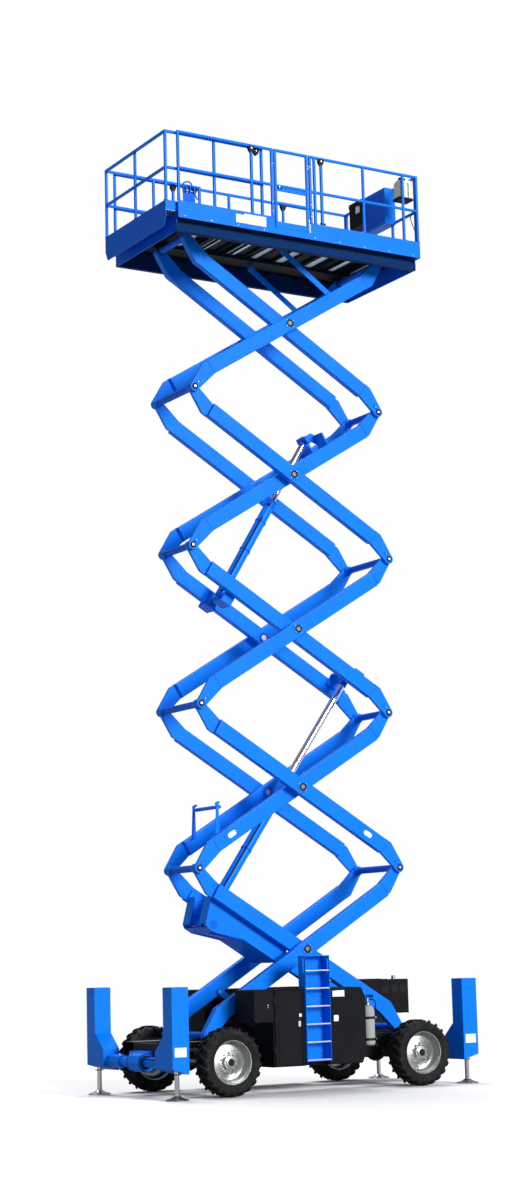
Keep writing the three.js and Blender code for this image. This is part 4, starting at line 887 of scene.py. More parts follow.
def add_cylinder(which, base, eye, barrel_length, rod_length):
    along = (eye - base).normalized()
    back = along.cross(ACROSS).normalized()
    top = base + along * barrel_length
    r = CYLINDER_RADIUS
    shape = Shape()
    lug = [(0.058, -0.08), (0.058, 0.08), (PIN_BORE, 0.08), (PIN_BORE, -0.08)]
    shape.turned(lug, base, ACROSS, BLUE_DEEP, 40, closed=True)
    tube = [
        (0.058, 0.045), (r - 0.004, 0.085), (r - 0.006, 0.11), (r - 0.006, barrel_length - 0.10),
        (r, barrel_length - 0.095), (r, barrel_length - 0.004), (r - 0.005, barrel_length),
        (0.0465, barrel_length), (0.0465, 0.1),
    ]
    shape.turned(tube, base, along, BLUE, 48)
    # the ports and their line
    port_side = back * math.cos(PORT_TURN) - ACROSS * math.sin(PORT_TURN)
    port = [(0.02, r - 0.01), (0.02, r + 0.010), (0.014, r + 0.013)]
    for distance in (barrel_length - 0.09, 0.14):
        shape.turned(port, base + along * distance, port_side, BLACK_STEEL, 20)
    line = base + port_side * (r + 0.005)
    shape.pipe([line + along * 0.14, line + along * (barrel_length - 0.3)], 0.008, BLACK_STEEL, 10)
    band = [(r - 0.007, -0.012), (r + 0.001, -0.012), (r + 0.001, 0.012), (r - 0.007, 0.012)]
    for distance in (0.3, barrel_length * 0.5, barrel_length - 0.35):
        shape.turned(band, base + along * distance, along, BLUE_DEEP, 48, closed=True)
    for at in circle(top, back, ACROSS, 0.062, 8):
        shape.bolt(at, along, 0.0055, 0.004)
    shape.piece(f"{which}_barrel_skin", f"{which}_cylinder_barrel", [f"{which}_cylinder_barrel"])

    shape = Shape()
    shape.turned([(0.045, -rod_length), (0.045, -0.05)], eye, along, CHROME, 48)
    shape.turned([(0.058, -0.08), (0.058, 0.08)], eye, ACROSS, BLUE_DEEP, 40)
    shape.turned([(0.057, -0.10), (0.057, -0.045), (0.05, -0.02)], eye, along, BLUE_DEEP, 40)
    shape.piece(f"{which}_rod_skin", f"{which}_cylinder_rod", [f"{which}_cylinder_rod"])


def mount_point(level, rise, along, across):
    x, z = from_pin_line(rise, along, across)
    return frame_matrix(level, rise) @ Vector((x, 0, z))


add_cylinder("lower", mount_point(1, -1, *LOWER_BASE), mount_point(3, -1, *LOWER_EYE), 2.38, 2.44)
add_cylinder("upper", mount_point(3, -1, *UPPER_BASE), mount_point(4, 1, *UPPER_EYE), 1.66, 1.72)


# ---------------------------------------------------------------- centring links
for node in ("near_chassis_link", "far_chassis_link", "near_platform_link", "far_platform_link"):
    refined(node, BLUE, 0.003)


# ---------------------------------------------------------------- wheels
CORNERS = ("near_front", "far_front", "near_rear", "far_rear")
LUGS = 22
# across the tread: y, the lug's top and bottom radius, and its sweep and half width in radians
LUG_STATIONS = [
    (-0.008, 0.418, 0.385, 0.0, 0.045), (0.060, 0.420, 0.385, 0.10, 0.048), (0.112, 0.416, 0.38, 0.17, 0.056),
    (0.138, 0.398, 0.37, 0.19, 0.060), (0.1445, 0.362, 0.35, 0.19, 0.054),
]
HALF_TYRE = [
    (0.3965, 0.0), (0.396, 0.085), (0.388, 0.118), (0.372, 0.136), (0.345, 0.1425), (0.312, 0.137),
    (0.288, 0.126), (0.2705, 0.118),
]
RIM = [
    (0.2695, -0.120), (0.2695, 0.114), (0.2655, 0.1198), (0.2595, 0.1195), (0.2555, 0.114), (0.2545, 0.098),
    (0.2485, 0.088), (0.2480, 0.058), (0.236, 0.030), (0.229, 0.006), (0.214, -0.004), (0.150, 0.004),
    (0.132, 0.016), (0.092, 0.017), (0.092, 0.0), (0.130, 0.0), (0.146, -0.012), (0.214, -0.02),
    (0.235, -0.012), (0.243, 0.0), (0.255, 0.05), (0.257, -0.114), (0.2625, -0.120),
]
HUB = [
    (0.091, -0.120), (0.091, 0.050), (0.082, 0.058), (0.062, 0.060), (0.060, 0.078), (0.054, 0.080),
    (0.0, 0.080),
]


def lug(shape, centre, index, side):
    """One bar of the chevron tread, from the middle of the tread over the shoulder."""
    start = 2 * math.pi * (index + (0.5 if side > 0 else 0)) / LUGS
    points, faces = [], []
    for y, top, bottom, sweep, width in LUG_STATIONS:
        for radius, turn in ((bottom, -width), (top, -width * 0.72), (top, width * 0.72), (bottom, width)):
            angle = start + sweep + turn
            ray = Vector((math.cos(angle), 0, math.sin(angle)))
            points.append(centre + ACROSS * side * y + ray * radius)
    last = 4 * (len(LUG_STATIONS) - 1)
    for a in range(0, last, 4):
        faces += [(a + i, a + (i + 1) % 4, a + 4 + (i + 1) % 4, a + 4 + i) for i in range(4)]
    faces += [(3, 2, 1, 0), (last, last + 1, last + 2, last + 3)]
    shape.add(points, faces, RUBBER)


def add_wheel(corner):
    low, high = low_high(f"{corner}_tyre")
    centre = (low + high) / 2
    out = Vector((0, -1 if corner.startswith("near") else 1, 0))
    shape = Shape()
    tyre = [(r, -y) for r, y in HALF_TYRE[::-1]] + HALF_TYRE[1:]
    shape.turned(tyre, centre, out, RUBBER, 72, closed=True)
    for side in (-1, 1):
        shape.ring(centre + out * side * 0.137, out, 0.306, 0.003, RUBBER, 72, 6)
        shape.ring(centre + out * side * 0.1425, out, 0.334, 0.002, RUBBER, 72, 6)
        for index in range(LUGS):
            lug(shape, centre, index, side)
    shape.skin(f"{corner}_tyre", smooth=38)

    shape = Shape()
    shape.turned(RIM, centre, out, SILVER, 72, closed=True)
    shape.turned(HUB, centre, out, SILVER, 48)
    shape.turned([(0.046, 0.0802), (0.046, 0.0815), (0.0, 0.0815)], centre, out, BLACK_STEEL, 36)
    across = out.cross(UP)
    # the wheel's studs, each with its washer and nut
    for at in circle(centre, UP, across, 0.112, 10):
        shape.turned([(0.017, 0.016), (0.017, 0.020)], at, out, STEEL, 20)
        shape.bolt(at + out * 0.020, out, 0.012, 0.014)
        shape.turned([(0.0075, 0.020), (0.0075, 0.047), (0.006, 0.05)], at, out, STEEL, 12)
    # the valve
    shape.turned([(0.004, -0.02), (0.004, 0.028)], centre + UP * 0.2475 + out * 0.088, -UP, BLACK, 10)
    for at in circle(centre + out * 0.059, UP, across, 0.070, 6, 0.3):
        shape.bolt(at, out, 0.007, 0.006)
    shape.skin(f"{corner}_rim", smooth=34)


for corner in CORNERS:
    add_wheel(corner)


# ---------------------------------------------------------------- outriggers
SIDE_Y = 1.145
COLUMN_Y, COLUMN_TOP = 1.03, 1.335
BEAM_Z = 0.43  # the middle of the round cross tube between two columns
STICKER = 0.0012


def label(shape, low, high, y):
    """A blank sticker on a face across Y; y is the face, with its sign."""
    side = -1 if y < 0 else 1
    y = (abs(y), abs(y) + STICKER)
    shape.slab(side, (low[0], high[0]), y, (low[1], high[1]), WHITE, soft=0)


def add_outriggers(which, end):
    node = f"{which}_outriggers"
    skin = refined(node, BLUE)
    x = end * 2.155 - 0.065
    # the near and far faces are drawn in by the sticker's thickness
    for vertex in skin.data.vertices:
        if abs(vertex.co.y) > SIDE_Y - 0.0002:
            vertex.co.y = math.copysign(SIDE_Y - 0.0014, vertex.co.y)
    shape = Shape(soft=0.002)
    for side in (-1, 1):
        y = side * COLUMN_Y
        # the lid on the column, with its bolts
        low, high = (x - 0.108, y - 0.108, COLUMN_TOP), (x + 0.108, y + 0.108, COLUMN_TOP + 0.0098)
        shape.box(low, high, BLUE_DEEP)
        for dx in (-0.085, 0.085):
            for dy in (-0.085, 0.085):
                shape.rod((x + dx, y + dy, 1.33), (x + dx, y + dy, COLUMN_TOP + 0.0099), 0.008, STEEL, 12)
        # the seams where the wing is welded on
        for edge in (x - 0.113, x + 0.113):
            shape.pipe([(edge, side * 0.692, 0.572), (edge, side * 0.915, 0.766)], 0.004, BLUE_DEEP, 6)
        # the gland the rod comes out of
        gland = [(0.056, 0), (0.056, 0.007), (0.052, 0.0105), (0.0315, 0.0105), (0.0315, 0)]
        shape.turned(gland, (x, y, 0.31), -UP, BLACK_STEEL, 36, closed=True)
        # the wing's bolted flange on the cross tube
        inward = Vector((0, -side, 0))
        shape.disc((x, side * 0.69, BEAM_Z), inward, 0.085, 0.014, BLUE, 36)
        for at in circle((x, side * 0.676, BEAM_Z), ALONG, UP, 0.073, 8):
            shape.bolt(at, inward, 0.007, 0.006)
    label(shape, (x - 0.085, 0.515), (x + 0.078, 0.628), -SIDE_Y + STICKER)
    if end < 0:
        # the valve block's tubes along the cross tube
        tube = [(x - 0.055, -0.66, 0.47), (x - 0.066, -0.40, 0.478), (x - 0.066, -0.28, 0.478)]
        shape.pipe(tube, 0.009, BLACK_STEEL, 10, 0.03)
        for y in (-0.262, 0.058):
            shape.ring((x, y, BEAM_Z), ACROSS, 0.112, 0.008, BLUE_DEEP, 40)
        cap = [(0.084, 0), (0.084, 0.004), (0.03, 0.006)]
        shape.turned(cap, (x, -0.2595, BEAM_Z), NEAR, BLACK_STEEL, 36)
    shape.piece(f"{node}_trim", NODES[node]["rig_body"])


add_outriggers("front", -1)
add_outriggers("rear", 1)


# low enough to stay under the column's gland when the leg is up
DISH = [
    (0.0, 0.0), (0.138, 0.0), (0.1445, 0.004), (0.1445, 0.009), (0.140, 0.012), (0.110, 0.019),
    (0.075, 0.031), (0.054, 0.043), (0.045, 0.049), (0.041, 0.054), (0.0305, 0.0565), (0.0, 0.0565),
]


def add_jack_leg(corner):
    low, high = low_high(f"{corner}_jack_leg")
    foot = ((low.x + high.x) / 2, (low.y + high.y) / 2, 0)
    shape = Shape()
    shape.turned([(0.0298, 0.05), (0.0298, high.z)], foot, UP, CHROME, 40)
    shape.turned(DISH, foot, UP, FOOT, 56)
    shape.skin(f"{corner}_jack_leg", smooth=40)


for corner in CORNERS:
    add_jack_leg(corner)


# ---------------------------------------------------------------- axles and steering
refined("steer_axle", BLACK_STEEL)
refined("rear_axle", BLACK_STEEL)
refined("near_knuckle", BLACK_STEEL, 0.002)
refined("far_knuckle", BLACK_STEEL, 0.002)
refined("tie_rod", STEEL, 0.002)


def add_axle_trim(node, x):
    """The differential housing with its cover bolts, and two bands round the beam on each side."""
    z = 0.405
    housing = [(0.05, -0.11), (0.10, -0.085), (0.118, -0.02), (0.118, 0.02), (0.10, 0.085), (0.05, 0.11)]
    shape = Shape(soft=0.003)
    shape.turned(housing, (x, 0, z), ACROSS, BLACK_STEEL, 40)
    for at in circle((x, -0.03, z), ALONG, UP, 0.105, 10):
        shape.bolt(at, NEAR, 0.007, 0.006)
    for side in (-1, 1):
        for low in (0.38, 0.46):
            shape.slab(side, (x - 0.064, x + 0.064), (0.405, 0.495), (low, low + 0.012), BLACK_STEEL)
    shape.piece(f"{node}_trim", NODES[node]["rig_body"])


add_axle_trim("steer_axle", -1.485)
add_axle_trim("rear_axle", 1.355)


# ---------------------------------------------------------------- chassis
def add_chassis():
    refined("chassis_frame", BLACK_STEEL)
    shape = Shape(soft=0.002)
    for side in (-1, 1):
        # wear strips on top of the beams, where the arms' pads run
        shape.slab(side, (-2.05, -1.0), (0.33, 0.575), (0.6655, 0.6659), CAST, soft=0)
        for k in range(14):
            for z in (0.60, 0.53):
                shape.bolt((-2.02 + k * 0.30, side * 0.5895, z), (0, side, 0), 0.010, 0.007)
        # pipes along the beam's outside
        for z, r in ((0.560, 0.009), (0.580, 0.007)):
            shape.pipe([(-1.9, side * 0.599, z), (-1.15, side * 0.599, z)], r, STEEL, 10)
    shape.piece("chassis_trim", NODES["chassis_frame"]["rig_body"])


add_chassis()


# ---------------------------------------------------------------- near module and its door
MODULE_OUT, MODULE_BACK, MODULE_LOW, MODULE_TOP = -1.1, -0.62, 0.33, 1.28
HINGE_X, HINGE_Y = -0.867, -1.105


def knuckles(shape, heights, length, leaf):
    """The cabinet door's hinge knuckles on one part, each with a leaf that reaches to that x."""
    x = sorted((HINGE_X, leaf))
    for z in heights:
        shape.rod((HINGE_X, HINGE_Y, z), (HINGE_X, HINGE_Y, z + length), 0.010, BLACK_STEEL, 20)
        low, high = (x[0], HINGE_Y, z), (x[1], HINGE_Y + 0.01, z + length)
        shape.box(low, high, BLACK_STEEL, soft=0.001)


def module_shell(shape):
    out, back, low, top = MODULE_OUT, MODULE_BACK, MODULE_LOW, MODULE_TOP
    face = -1.0797
    shape.box((-1.155, out, 0.88), (-0.879, back, top), BLACK)
    shape.box((-0.885, out, low), (-0.879, back, 0.89), BLACK, soft=0.001)
    # the cabinet's sides, top, bottom and back
    for x, y, z in (
        ((-0.885, -0.795), face, (low, 1.2795)), ((-0.495, -0.46), face, (low, 1.2795)),
        ((-0.80, -0.49), face, (1.20, 1.2795)), ((-0.80, -0.49), face, (low, 0.43)),
        ((-0.80, -0.49), -0.8797, (0.42, 1.21)),
    ):
        shape.box((x[0], y, z[0]), (x[1], back, z[1]), BLACK, soft=0.002)
    shape.box((-0.885, out, 1.2705), (-0.458, face + 0.01, top), BLACK, soft=0.002)
    shape.box((-0.46, out, low), (-0.4253, back, top), BLACK, soft=0.004)
    shape.box((-0.43, -0.9747, low), (-0.06, back, top), BLACK, soft=0.004)
    rear = [(-0.0647, low), (0.435, low), (0.495, 0.48), (0.495, 1.16), (0.435, top), (-0.0647, top)]
    shape.prism(rear, (out, back), "y", BLACK, soft=0.016)
    # the gas bottle's shelf
    shape.box((0.485, -1.075, 0.5262), (0.684, -0.895, 0.54), BLACK, soft=0.002)


def add_near_module():
    out = MODULE_OUT
    shape = Shape(soft=0.012)
    module_shell(shape)
    # what is in the cabinet behind the door: a valve block with its solenoids and hoses
    shape.box((-0.74, -0.99, 0.62), (-0.55, -0.88, 0.80), STEEL, soft=0.004)
    for k in range(3):
        x = -0.71 + k * 0.065
        shape.turned([(0.022, 0), (0.022, 0.05), (0.012, 0.055)], (x, -0.94, 0.80), UP, BLACK_STEEL, 24)
        hose = [(x, -0.985, 0.70), (x, -1.03, 0.68), (x, -1.03, 0.50), (x, -0.9, 0.44)]
        shape.pipe(hose, 0.011, RUBBER, 10, 0.04)
    shape.box((-0.74, -0.95, 0.95), (-0.55, -0.88, 1.12), GREY, soft=0.006)
    knuckles(shape, (0.5405, 1.1405), 0.0395, HINGE_X - 0.022)
    # a panel seam, the latch and its dark spots, and the panel's screws
    shape.box((-1.150, out - 0.0006, 0.883), (-0.885, out + 0.0004, 0.886), BLACK_STEEL, soft=0)
    shape.box((-0.975, -1.1035, 1.045), (-0.945, -1.098, 1.105), BLACK_STEEL, soft=0.003)
    shape.turned([(0.011, 0), (0.011, 0.008), (0.008, 0.010)], (-0.960, -1.1025, 1.088), NEAR, STEEL, 24)
    shape.disc((-0.960, -1.1025, 1.062), NEAR, 0.006, 0.006, STEEL, 20)
    for x, z in ((0.02, 1.24), (0.40, 1.24), (0.02, 0.37), (0.40, 0.37)):
        shape.turned([(0.009, 0), (0.009, 0.003), (0.006, 0.0045)], (x, out, z), NEAR, BLACK_STEEL, 20)
    label(shape, (0.008, 0.862), (0.078, 0.938), out)
    label(shape, (-0.005, 1.165), (0.175, 1.243), out)
    module_brackets(shape, -1)
    shape.skin("near_module")


def module_brackets(shape, side):
    """The brackets that carry a module on the chassis beam."""
    for x in (-0.465, 0.235):
        y = (0.5903, 0.621)
        shape.slab(side, (x, x + 0.10), y, (0.52, 0.64), BLACK_STEEL, soft=0.002)


def add_module_door():
    out = MODULE_OUT
    shape = Shape(soft=0.004)
    shape.box((-0.855, out, 0.345), (-0.465, -1.085, 1.265), BLACK)
    for low, high in ((0.40, 0.84), (0.88, 1.21)):
        shape.box((-0.815, out - 0.0032, low), (-0.505, -1.099, high), BLACK, soft=0.003)
    knuckles(shape, (0.50, 1.10), 0.04, HINGE_X + 0.027)
    # a recessed pull with its paddle
    shape.box((-0.530, -1.1062, 0.80), (-0.478, -1.099, 0.92), BLACK_STEEL, soft=0.003)
    shape.box((-0.522, -1.1098, 0.815), (-0.486, -1.105, 0.885), STEEL, soft=0.002)
    label(shape, (-0.508, 0.935), (-0.468, 0.975), out)
    shape.skin("near_module_door")


def add_far_module():
    shape = Shape(soft=0.014)
    low, high = low_high("far_module")
    shape.box((low.x, 0.62, MODULE_LOW), (high.x, 1.0995, MODULE_TOP), BLACK)
    for a, b in ((-0.83, -0.35), (-0.31, 0.17), (0.21, 0.70)):
        shape.box((a, 1.0985, 0.42), (b, 1.1, 1.20), BLACK, soft=0.001)
    module_brackets(shape, 1)
    # the panels' catches
    for x in (-0.59, -0.07, 0.455):
        shape.box((x - 0.03, 1.09, 1.13), (x + 0.03, 1.1, 1.17), BLACK_STEEL, soft=0.002)
        shape.disc((x, 1.0955, 1.15), ACROSS, 0.012, 0.004, STEEL, 20)
    shape.skin("far_module")


add_near_module()
add_module_door()
add_far_module()


# ---------------------------------------------------------------- ladder and gas bottle
RUNGS, RUNG_PITCH = 6, 0.22


def add_ladder():
    shape = Shape(soft=0.002)
    front, rear, y0, y1 = -0.425, -0.065, -1.145, -0.975
    z0, z1 = 0.37, 1.685
    shape.box((front, y1 - 0.006, z0), (rear, y1, z1), BLUE)
    shape.box((front, y0, z0), (front + 0.006, y1, z1), BLUE)
    shape.box((rear - 0.006, y0, z0), (rear, y1, z1), BLUE)
    for x in (front + 0.003, rear - 0.003):
        shape.rod((x, y0 + 0.004, z0), (x, y0 + 0.004, z1 - 0.004), 0.0039, BLUE, 12)
    for i in range(RUNGS):
        z = z0 + 0.02 + i * RUNG_PITCH
        shape.box((front + 0.004, y0 + 0.001, z), (rear - 0.004, y0 + 0.070, z + 0.016), STEEL)
        for k in range(7):
            x = front + 0.04 + k * 0.046
            low, high = (x, y0 + 0.012, z + 0.0155), (x + 0.018, y0 + 0.062, z + 0.0185)
            shape.box(low, high, STEEL, soft=0.001)
    # hand loops at the top
    for x, lean in ((front - 0.010, -0.016), (rear - 0.020, -0.004)):
        loop = [(x, -1.10, 1.46), (x + lean, -1.128, 1.48), (x + lean, -1.130, 1.63), (x, -1.10, 1.65)]
        shape.pipe(loop, 0.010, BLUE, 14, 0.04, 6)
    shape.box((front, y0 + 0.02, z1 - 0.012), (rear, y1, z1 - 0.0005), BLUE)
    for z in (0.5, 0.9, 1.2):
        for x in (front + 0.05, rear - 0.05):
            shape.bolt((x, y1 - 0.006, z), NEAR, 0.009, 0.006)
    shape.skin("ladder")


BOTTLE = Vector((0.594, -0.985, 0.5403))
BOTTLE_BODY = [
    (0.0, 0.0), (0.070, 0.0), (0.080, 0.006), (0.086, 0.02), (0.088, 0.035), (0.088, 0.215), (0.0872, 0.218),
    (0.0872, 0.222), (0.088, 0.225), (0.088, 0.42), (0.084, 0.45), (0.074, 0.474), (0.056, 0.492),
    (0.034, 0.502), (0.0, 0.502),
]


def add_gas_bottle():
    shape = Shape(soft=0.002)
    shape.turned(BOTTLE_BODY, BOTTLE, UP, GREY, 56)
    shape.turned([(0.034, 0.50), (0.034, 0.535), (0.0, 0.5395)], BOTTLE, UP, STEEL, 32)
    shape.skin("gas_bottle", smooth=38)


def add_gas_fittings():
    """The straps, the valve, the guard over it and the line back to the module: all bolted down."""
    x, y, z = BOTTLE
    shape = Shape(soft=0.002)
    for h in (0.075, 0.345):
        strap = [(0.0884, h - 0.016), (0.0908, h - 0.016), (0.0908, h + 0.016), (0.0884, h + 0.016)]
        shape.turned(strap, BOTTLE, UP, BLACK_STEEL, 56, closed=True)
        low, high = (x - 0.10, y - 0.02, z + h - 0.016), (x - 0.088, y + 0.02, z + h + 0.016)
        shape.box(low, high, BLACK_STEEL)
    shape.rod((x + 0.088, y - 0.03, z + 0.345), (x + 0.104, y - 0.03, z + 0.345), 0.016, STEEL, 20)
    shape.turned([(0.020, 0.545), (0.024, 0.55), (0.024, 0.585), (0.018, 0.592)], BOTTLE, UP, STEEL, 28)
    knob = [(0.012, 0.592), (0.012, 0.605), (0.030, 0.605), (0.030, 0.618), (0.024, 0.622)]
    shape.turned(knob, BOTTLE, UP, BLUE, 28)
    for x0, x1, low in ((0.492, 0.498, 1.108), (0.492, 0.640, 1.172), (0.634, 0.640, 1.135)):
        shape.box((x0, -1.065, low), (x1, -0.905, 1.178), BLUE)
    inlet = (0.494, y + 0.13, z + 0.36)
    line = [
        (x + 0.02, y - 0.01, z + 0.57), (x + 0.085, y - 0.03, z + 0.575), (x + 0.118, y - 0.03, z + 0.49),
        (x + 0.105, y + 0.06, z + 0.40), (x + 0.02, y + 0.13, z + 0.36), inlet,
    ]
    shape.pipe(line, 0.008, BLACK, 12, 0.05, 6)
    shape.disc((inlet[0] + 0.0005, *inlet[1:]), ALONG, 0.014, 0.012, STEEL, 6)
    shape.piece("gas_fittings", NODES["near_module"]["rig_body"])


add_ladder()
add_gas_bottle()
add_gas_fittings()


# ---------------------------------------------------------------- engine hood, hatch and engine
def add_hood():
    x0, x1, z0, z1 = 1.235, 2.365, 0.88, 1.34
    y0, notch, y1 = 0.64, 0.885, 1.11
    step = 1.945  # where the hood steps in, clear of the far rear column
    w = 0.02
    shape = Shape(soft=0.003)
    shape.box((x0, y0, z0), (x1, y0 + w, z1), BLACK, soft=0.010)
    shape.box((x0, y0, z0), (x0 + w, y1, z1), BLACK, soft=0.010)
    shape.box((x1 - w, y0, z0), (x1, notch, z1), BLACK, soft=0.010)
    shape.box((step - w, notch - w, z0), (step, y1, z1), BLACK, soft=0.006)
    shape.box((step - w, notch - w, z0), (x1, notch, z1), BLACK, soft=0.006)
    plan = [(x0, y0), (x1, y0), (x1, notch), (step, notch), (step, y1), (x0, y1)]
    shape.prism(plan, (z1 - w, z1), "z", BLACK, soft=0.008)
    shape.prism(plan, (z0, z0 + w), "z", BLACK, soft=0.004)
    # the outer side, open for the hatch
    sides, sill = ((x0, 1.335), (1.895, step)), (1.33, 1.90)
    for x, low, high in ((sides[0], z0, z1), (sides[1], z0, z1), (sill, z0, 0.93), (sill, 1.30, z1)):
        shape.box((x[0], y1 - w, low), (x[1], y1, high), BLACK)
    # the bracket on the chassis beam
    shape.box((1.355, 0.5903, 0.56), (1.935, 0.641, 1.0), BLACK_STEEL)
    for k in range(5):
        shape.bolt((1.42 + k * 0.11, 0.5925, 0.70), NEAR, 0.010, 0.002)
    # vent squares with their louvres, a raised lid and the intake behind it
    for x in (1.985, 2.135, 2.285):
        shape.box((x - 0.055, 0.6385, 1.155), (x + 0.055, 0.641, 1.255), BLACK_STEEL, soft=0.001)
        for k in range(5):
            z = 1.165 + k * 0.018
            shape.box((x - 0.047, 0.6372, z), (x + 0.047, 0.639, z + 0.009), BLACK_STEEL, soft=0.0005)
    shape.box((1.60, 0.66, 1.339), (1.935, 0.96, 1.352), BLACK, soft=0.005)
    for x in (1.66, 1.87):
        shape.box((x - 0.02, 0.652, 1.338), (x + 0.02, 0.668, 1.354), BLACK_STEEL)
    intake = [(0.030, 0), (0.030, 0.05), (0.024, 0.052), (0.024, 0.004)]
    shape.turned(intake, (2.20, 0.76, 1.338), UP, STEEL, 32)
    shape.skin("engine_hood")


def add_hatch():
    shape = Shape(soft=0.004)
    shape.box((1.343, 1.0905, 0.938), (1.887, 1.11, 1.2992), BLACK)
    for k in range(7):
        z = 1.02 + k * 0.028
        shape.box((1.42, 1.1085, z), (1.81, 1.11, z + 0.016), BLACK_STEEL, soft=0.0005)
    shape.skin("engine_hatch")


def add_engine():
    """The block in three steps, its exhaust pipes and manifold, a pulley and the oil filter."""
    low, high = low_high("engine_block")
    x0, y0, z0 = low
    x1, y1, z1 = high
    shape = Shape(soft=0.006)
    shape.box((x0 + 0.03, y0 + 0.03, z0), (x1 - 0.04, y1 - 0.05, z0 + 0.20), CAST)
    shape.box((x0 + 0.06, y0 + 0.08, z0 + 0.19), (x1 - 0.09, y1 - 0.10, z0 + 0.31), CAST)
    shape.box((x0 + 0.09, y0 + 0.10, z0 + 0.30), (x1 - 0.12, y1 - 0.14, z1 - 0.005), BLACK_STEEL)
    for k in range(4):
        x = x0 + 0.12 + k * 0.085
        exhaust = [(x, y1 - 0.10, z0 + 0.25), (x, y1 - 0.045, z0 + 0.24), (x + 0.03, y1 - 0.03, z0 + 0.15)]
        shape.pipe(exhaust, 0.018, STEEL, 14, 0.03)
    start, end = (x0 + 0.10, y1 - 0.03, z0 + 0.14), (x1 - 0.08, y1 - 0.03, z0 + 0.14)
    shape.rod(start, end, 0.028, STEEL, 24)
    pulley = [(0.095, 0), (0.10, 0.02), (0.10, 0.035), (0.07, 0.04)]
    shape.turned(pulley, (x0 + 0.001, (y0 + y1) / 2, z0 + 0.13), ALONG, BLACK_STEEL, 40)
    at = (x1 - 0.12, y1 - 0.075, z0 + 0.03)
    shape.turned([(0.045, 0), (0.05, 0.09), (0.04, 0.10)], at, UP, CREAM, 32)
    shape.piece("engine_skin", NODES["engine_block"]["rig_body"], ["engine_block"])


add_hood()
add_hatch()
add_engine()


# ---------------------------------------------------------------- platform
DECK = 11.261
TOP_PIN = pivot("platform_pivot").z
TUBE = 0.038
TOE_LOW, TOE_TOP = 11.170, DECK + 0.141
TOP_RAIL = (DECK + 1.062, DECK + 1.100)
MID_RAIL = (DECK + 0.571, DECK + 0.609)
RAIL_Y = 0.896
EDGE_Y = 0.915
DECK_X = (-1.898, 1.924)
GATE_X = (-0.430, 0.135)  # the opening in the near toe board and rail
BEARERS = (-1.565, -1.065, -0.565, 0.435, 0.935, 1.435)
GAPS = (
    (-1.655, -1.56), (-1.30, -1.20), (-0.925, -0.83), (-0.478, -0.353), (-0.08, 0.045), (0.31, 0.43),
    (0.79, 0.89), (1.16, 1.26), (1.56, 1.62),
)


def deck_floor(shape):
    """The tread plate, and under it boards painted near-black as the deck's shade, with pale gaps between
    them, on bearers.
    """
    front, rear = DECK_X
    low, high = (front + 0.012, -0.903, DECK - 0.005), (rear - 0.012, 0.903, DECK)
    shape.box(low, high, TREAD, soft=0.0005)
    low, high = (front + 0.012, -0.80, DECK - 0.0165), (rear - 0.06, 0.80, DECK - 0.0051)
    shape.box(low, high, UNDERSIDE_PAINTED_SHADE, soft=0.001)
    for x0, x1 in GAPS:
        shape.box((x0, -0.36, DECK - 0.0185), (x1, 0.36, DECK - 0.0160), SLAT, soft=0.0008)
    for k in range(17):
        x = front + 0.09 + k * 0.226
        if min(abs(x - bearer) for bearer in BEARERS) > 0.03:
            for y in ((-0.80, -0.575), (-0.30, 0.30), (0.575, 0.80)):
                shape.box((x - 0.004, y[0], DECK - 0.052), (x + 0.004, y[1], DECK - 0.012), UNDERSIDE_PAINTED_SHADE)
    for x in BEARERS:
        shape.box((x - 0.005, -0.801, DECK - 0.066), (x + 0.005, 0.801, DECK - 0.006), UNDERSIDE_PAINTED_SHADE)


def deck_side(shape, side):
    front, rear = DECK_X
    # the toe board with its folded lip; the near one is open at the gate
    for x in [DECK_X] if side > 0 else [(front, GATE_X[0]), (GATE_X[1], rear)]:
        shape.slab(side, x, (0.906, EDGE_Y), (TOE_LOW, TOE_TOP), BLUE)
        shape.slab(side, x, (0.903, EDGE_Y), (TOE_TOP - 0.010, TOE_TOP), BLUE)
    shape.slab(side, DECK_X, (0.903, EDGE_Y), (TOE_LOW, DECK + 0.002), BLUE)
    # the channel under the deck's edge, and its web up to the deck, in a dark navy that is painted shade
    bottom, top, under = 11.004, 11.104, DECK - 0.004
    for y, z in (
        ((0.80, 0.86), (bottom, bottom + 0.008)), ((0.80, 0.86), (top - 0.008, top)),
        ((0.80, 0.808), (bottom, top)), ((0.852, 0.86), (bottom, top)), ((0.80, 0.812), (11.100, under)),
    ):
        shape.slab(side, (front, rear - 0.048), y, z, CHANNEL_PAINTED_SHADE)
    shape.slab(side, (front, rear - 0.03), (0.80, 0.912), (11.250, under), BLACK_STEEL)
    # the rail the top arms' pads run under, painted near-black as shade like the deck's underside
    track = (front + 0.03, rear - 0.03)
    for y in ((0.30, 0.31), (0.565, 0.575))[::side]:
        shape.slab(side, track, y, (11.1895, DECK - 0.006), UNDERSIDE_PAINTED_SHADE)
    shape.slab(side, track, (0.30, 0.575), (11.1895, 11.1995), UNDERSIDE_PAINTED_SHADE)
    for k in range(9):
        at = (front + 0.25 + k * 0.42, side * 0.5875, 11.223)
        shape.bolt(at, (0, side, 0), 0.008, 0.005, BLACK_STEEL)
    # the centring link's ear and its pin
    ear = [
        (-0.055, 11.19), (-0.055, 11.11), (-0.035, 11.094), (0.005, 11.094), (0.025, 11.11), (0.025, 11.19),
    ]
    shape.prism(ear, side_span(side, 0.440, 0.450), "y", BLUE)
    shape.rod((-0.015, side * 0.425, TOP_PIN), (-0.015, side * 0.452, TOP_PIN), 0.0195, STEEL, 24)


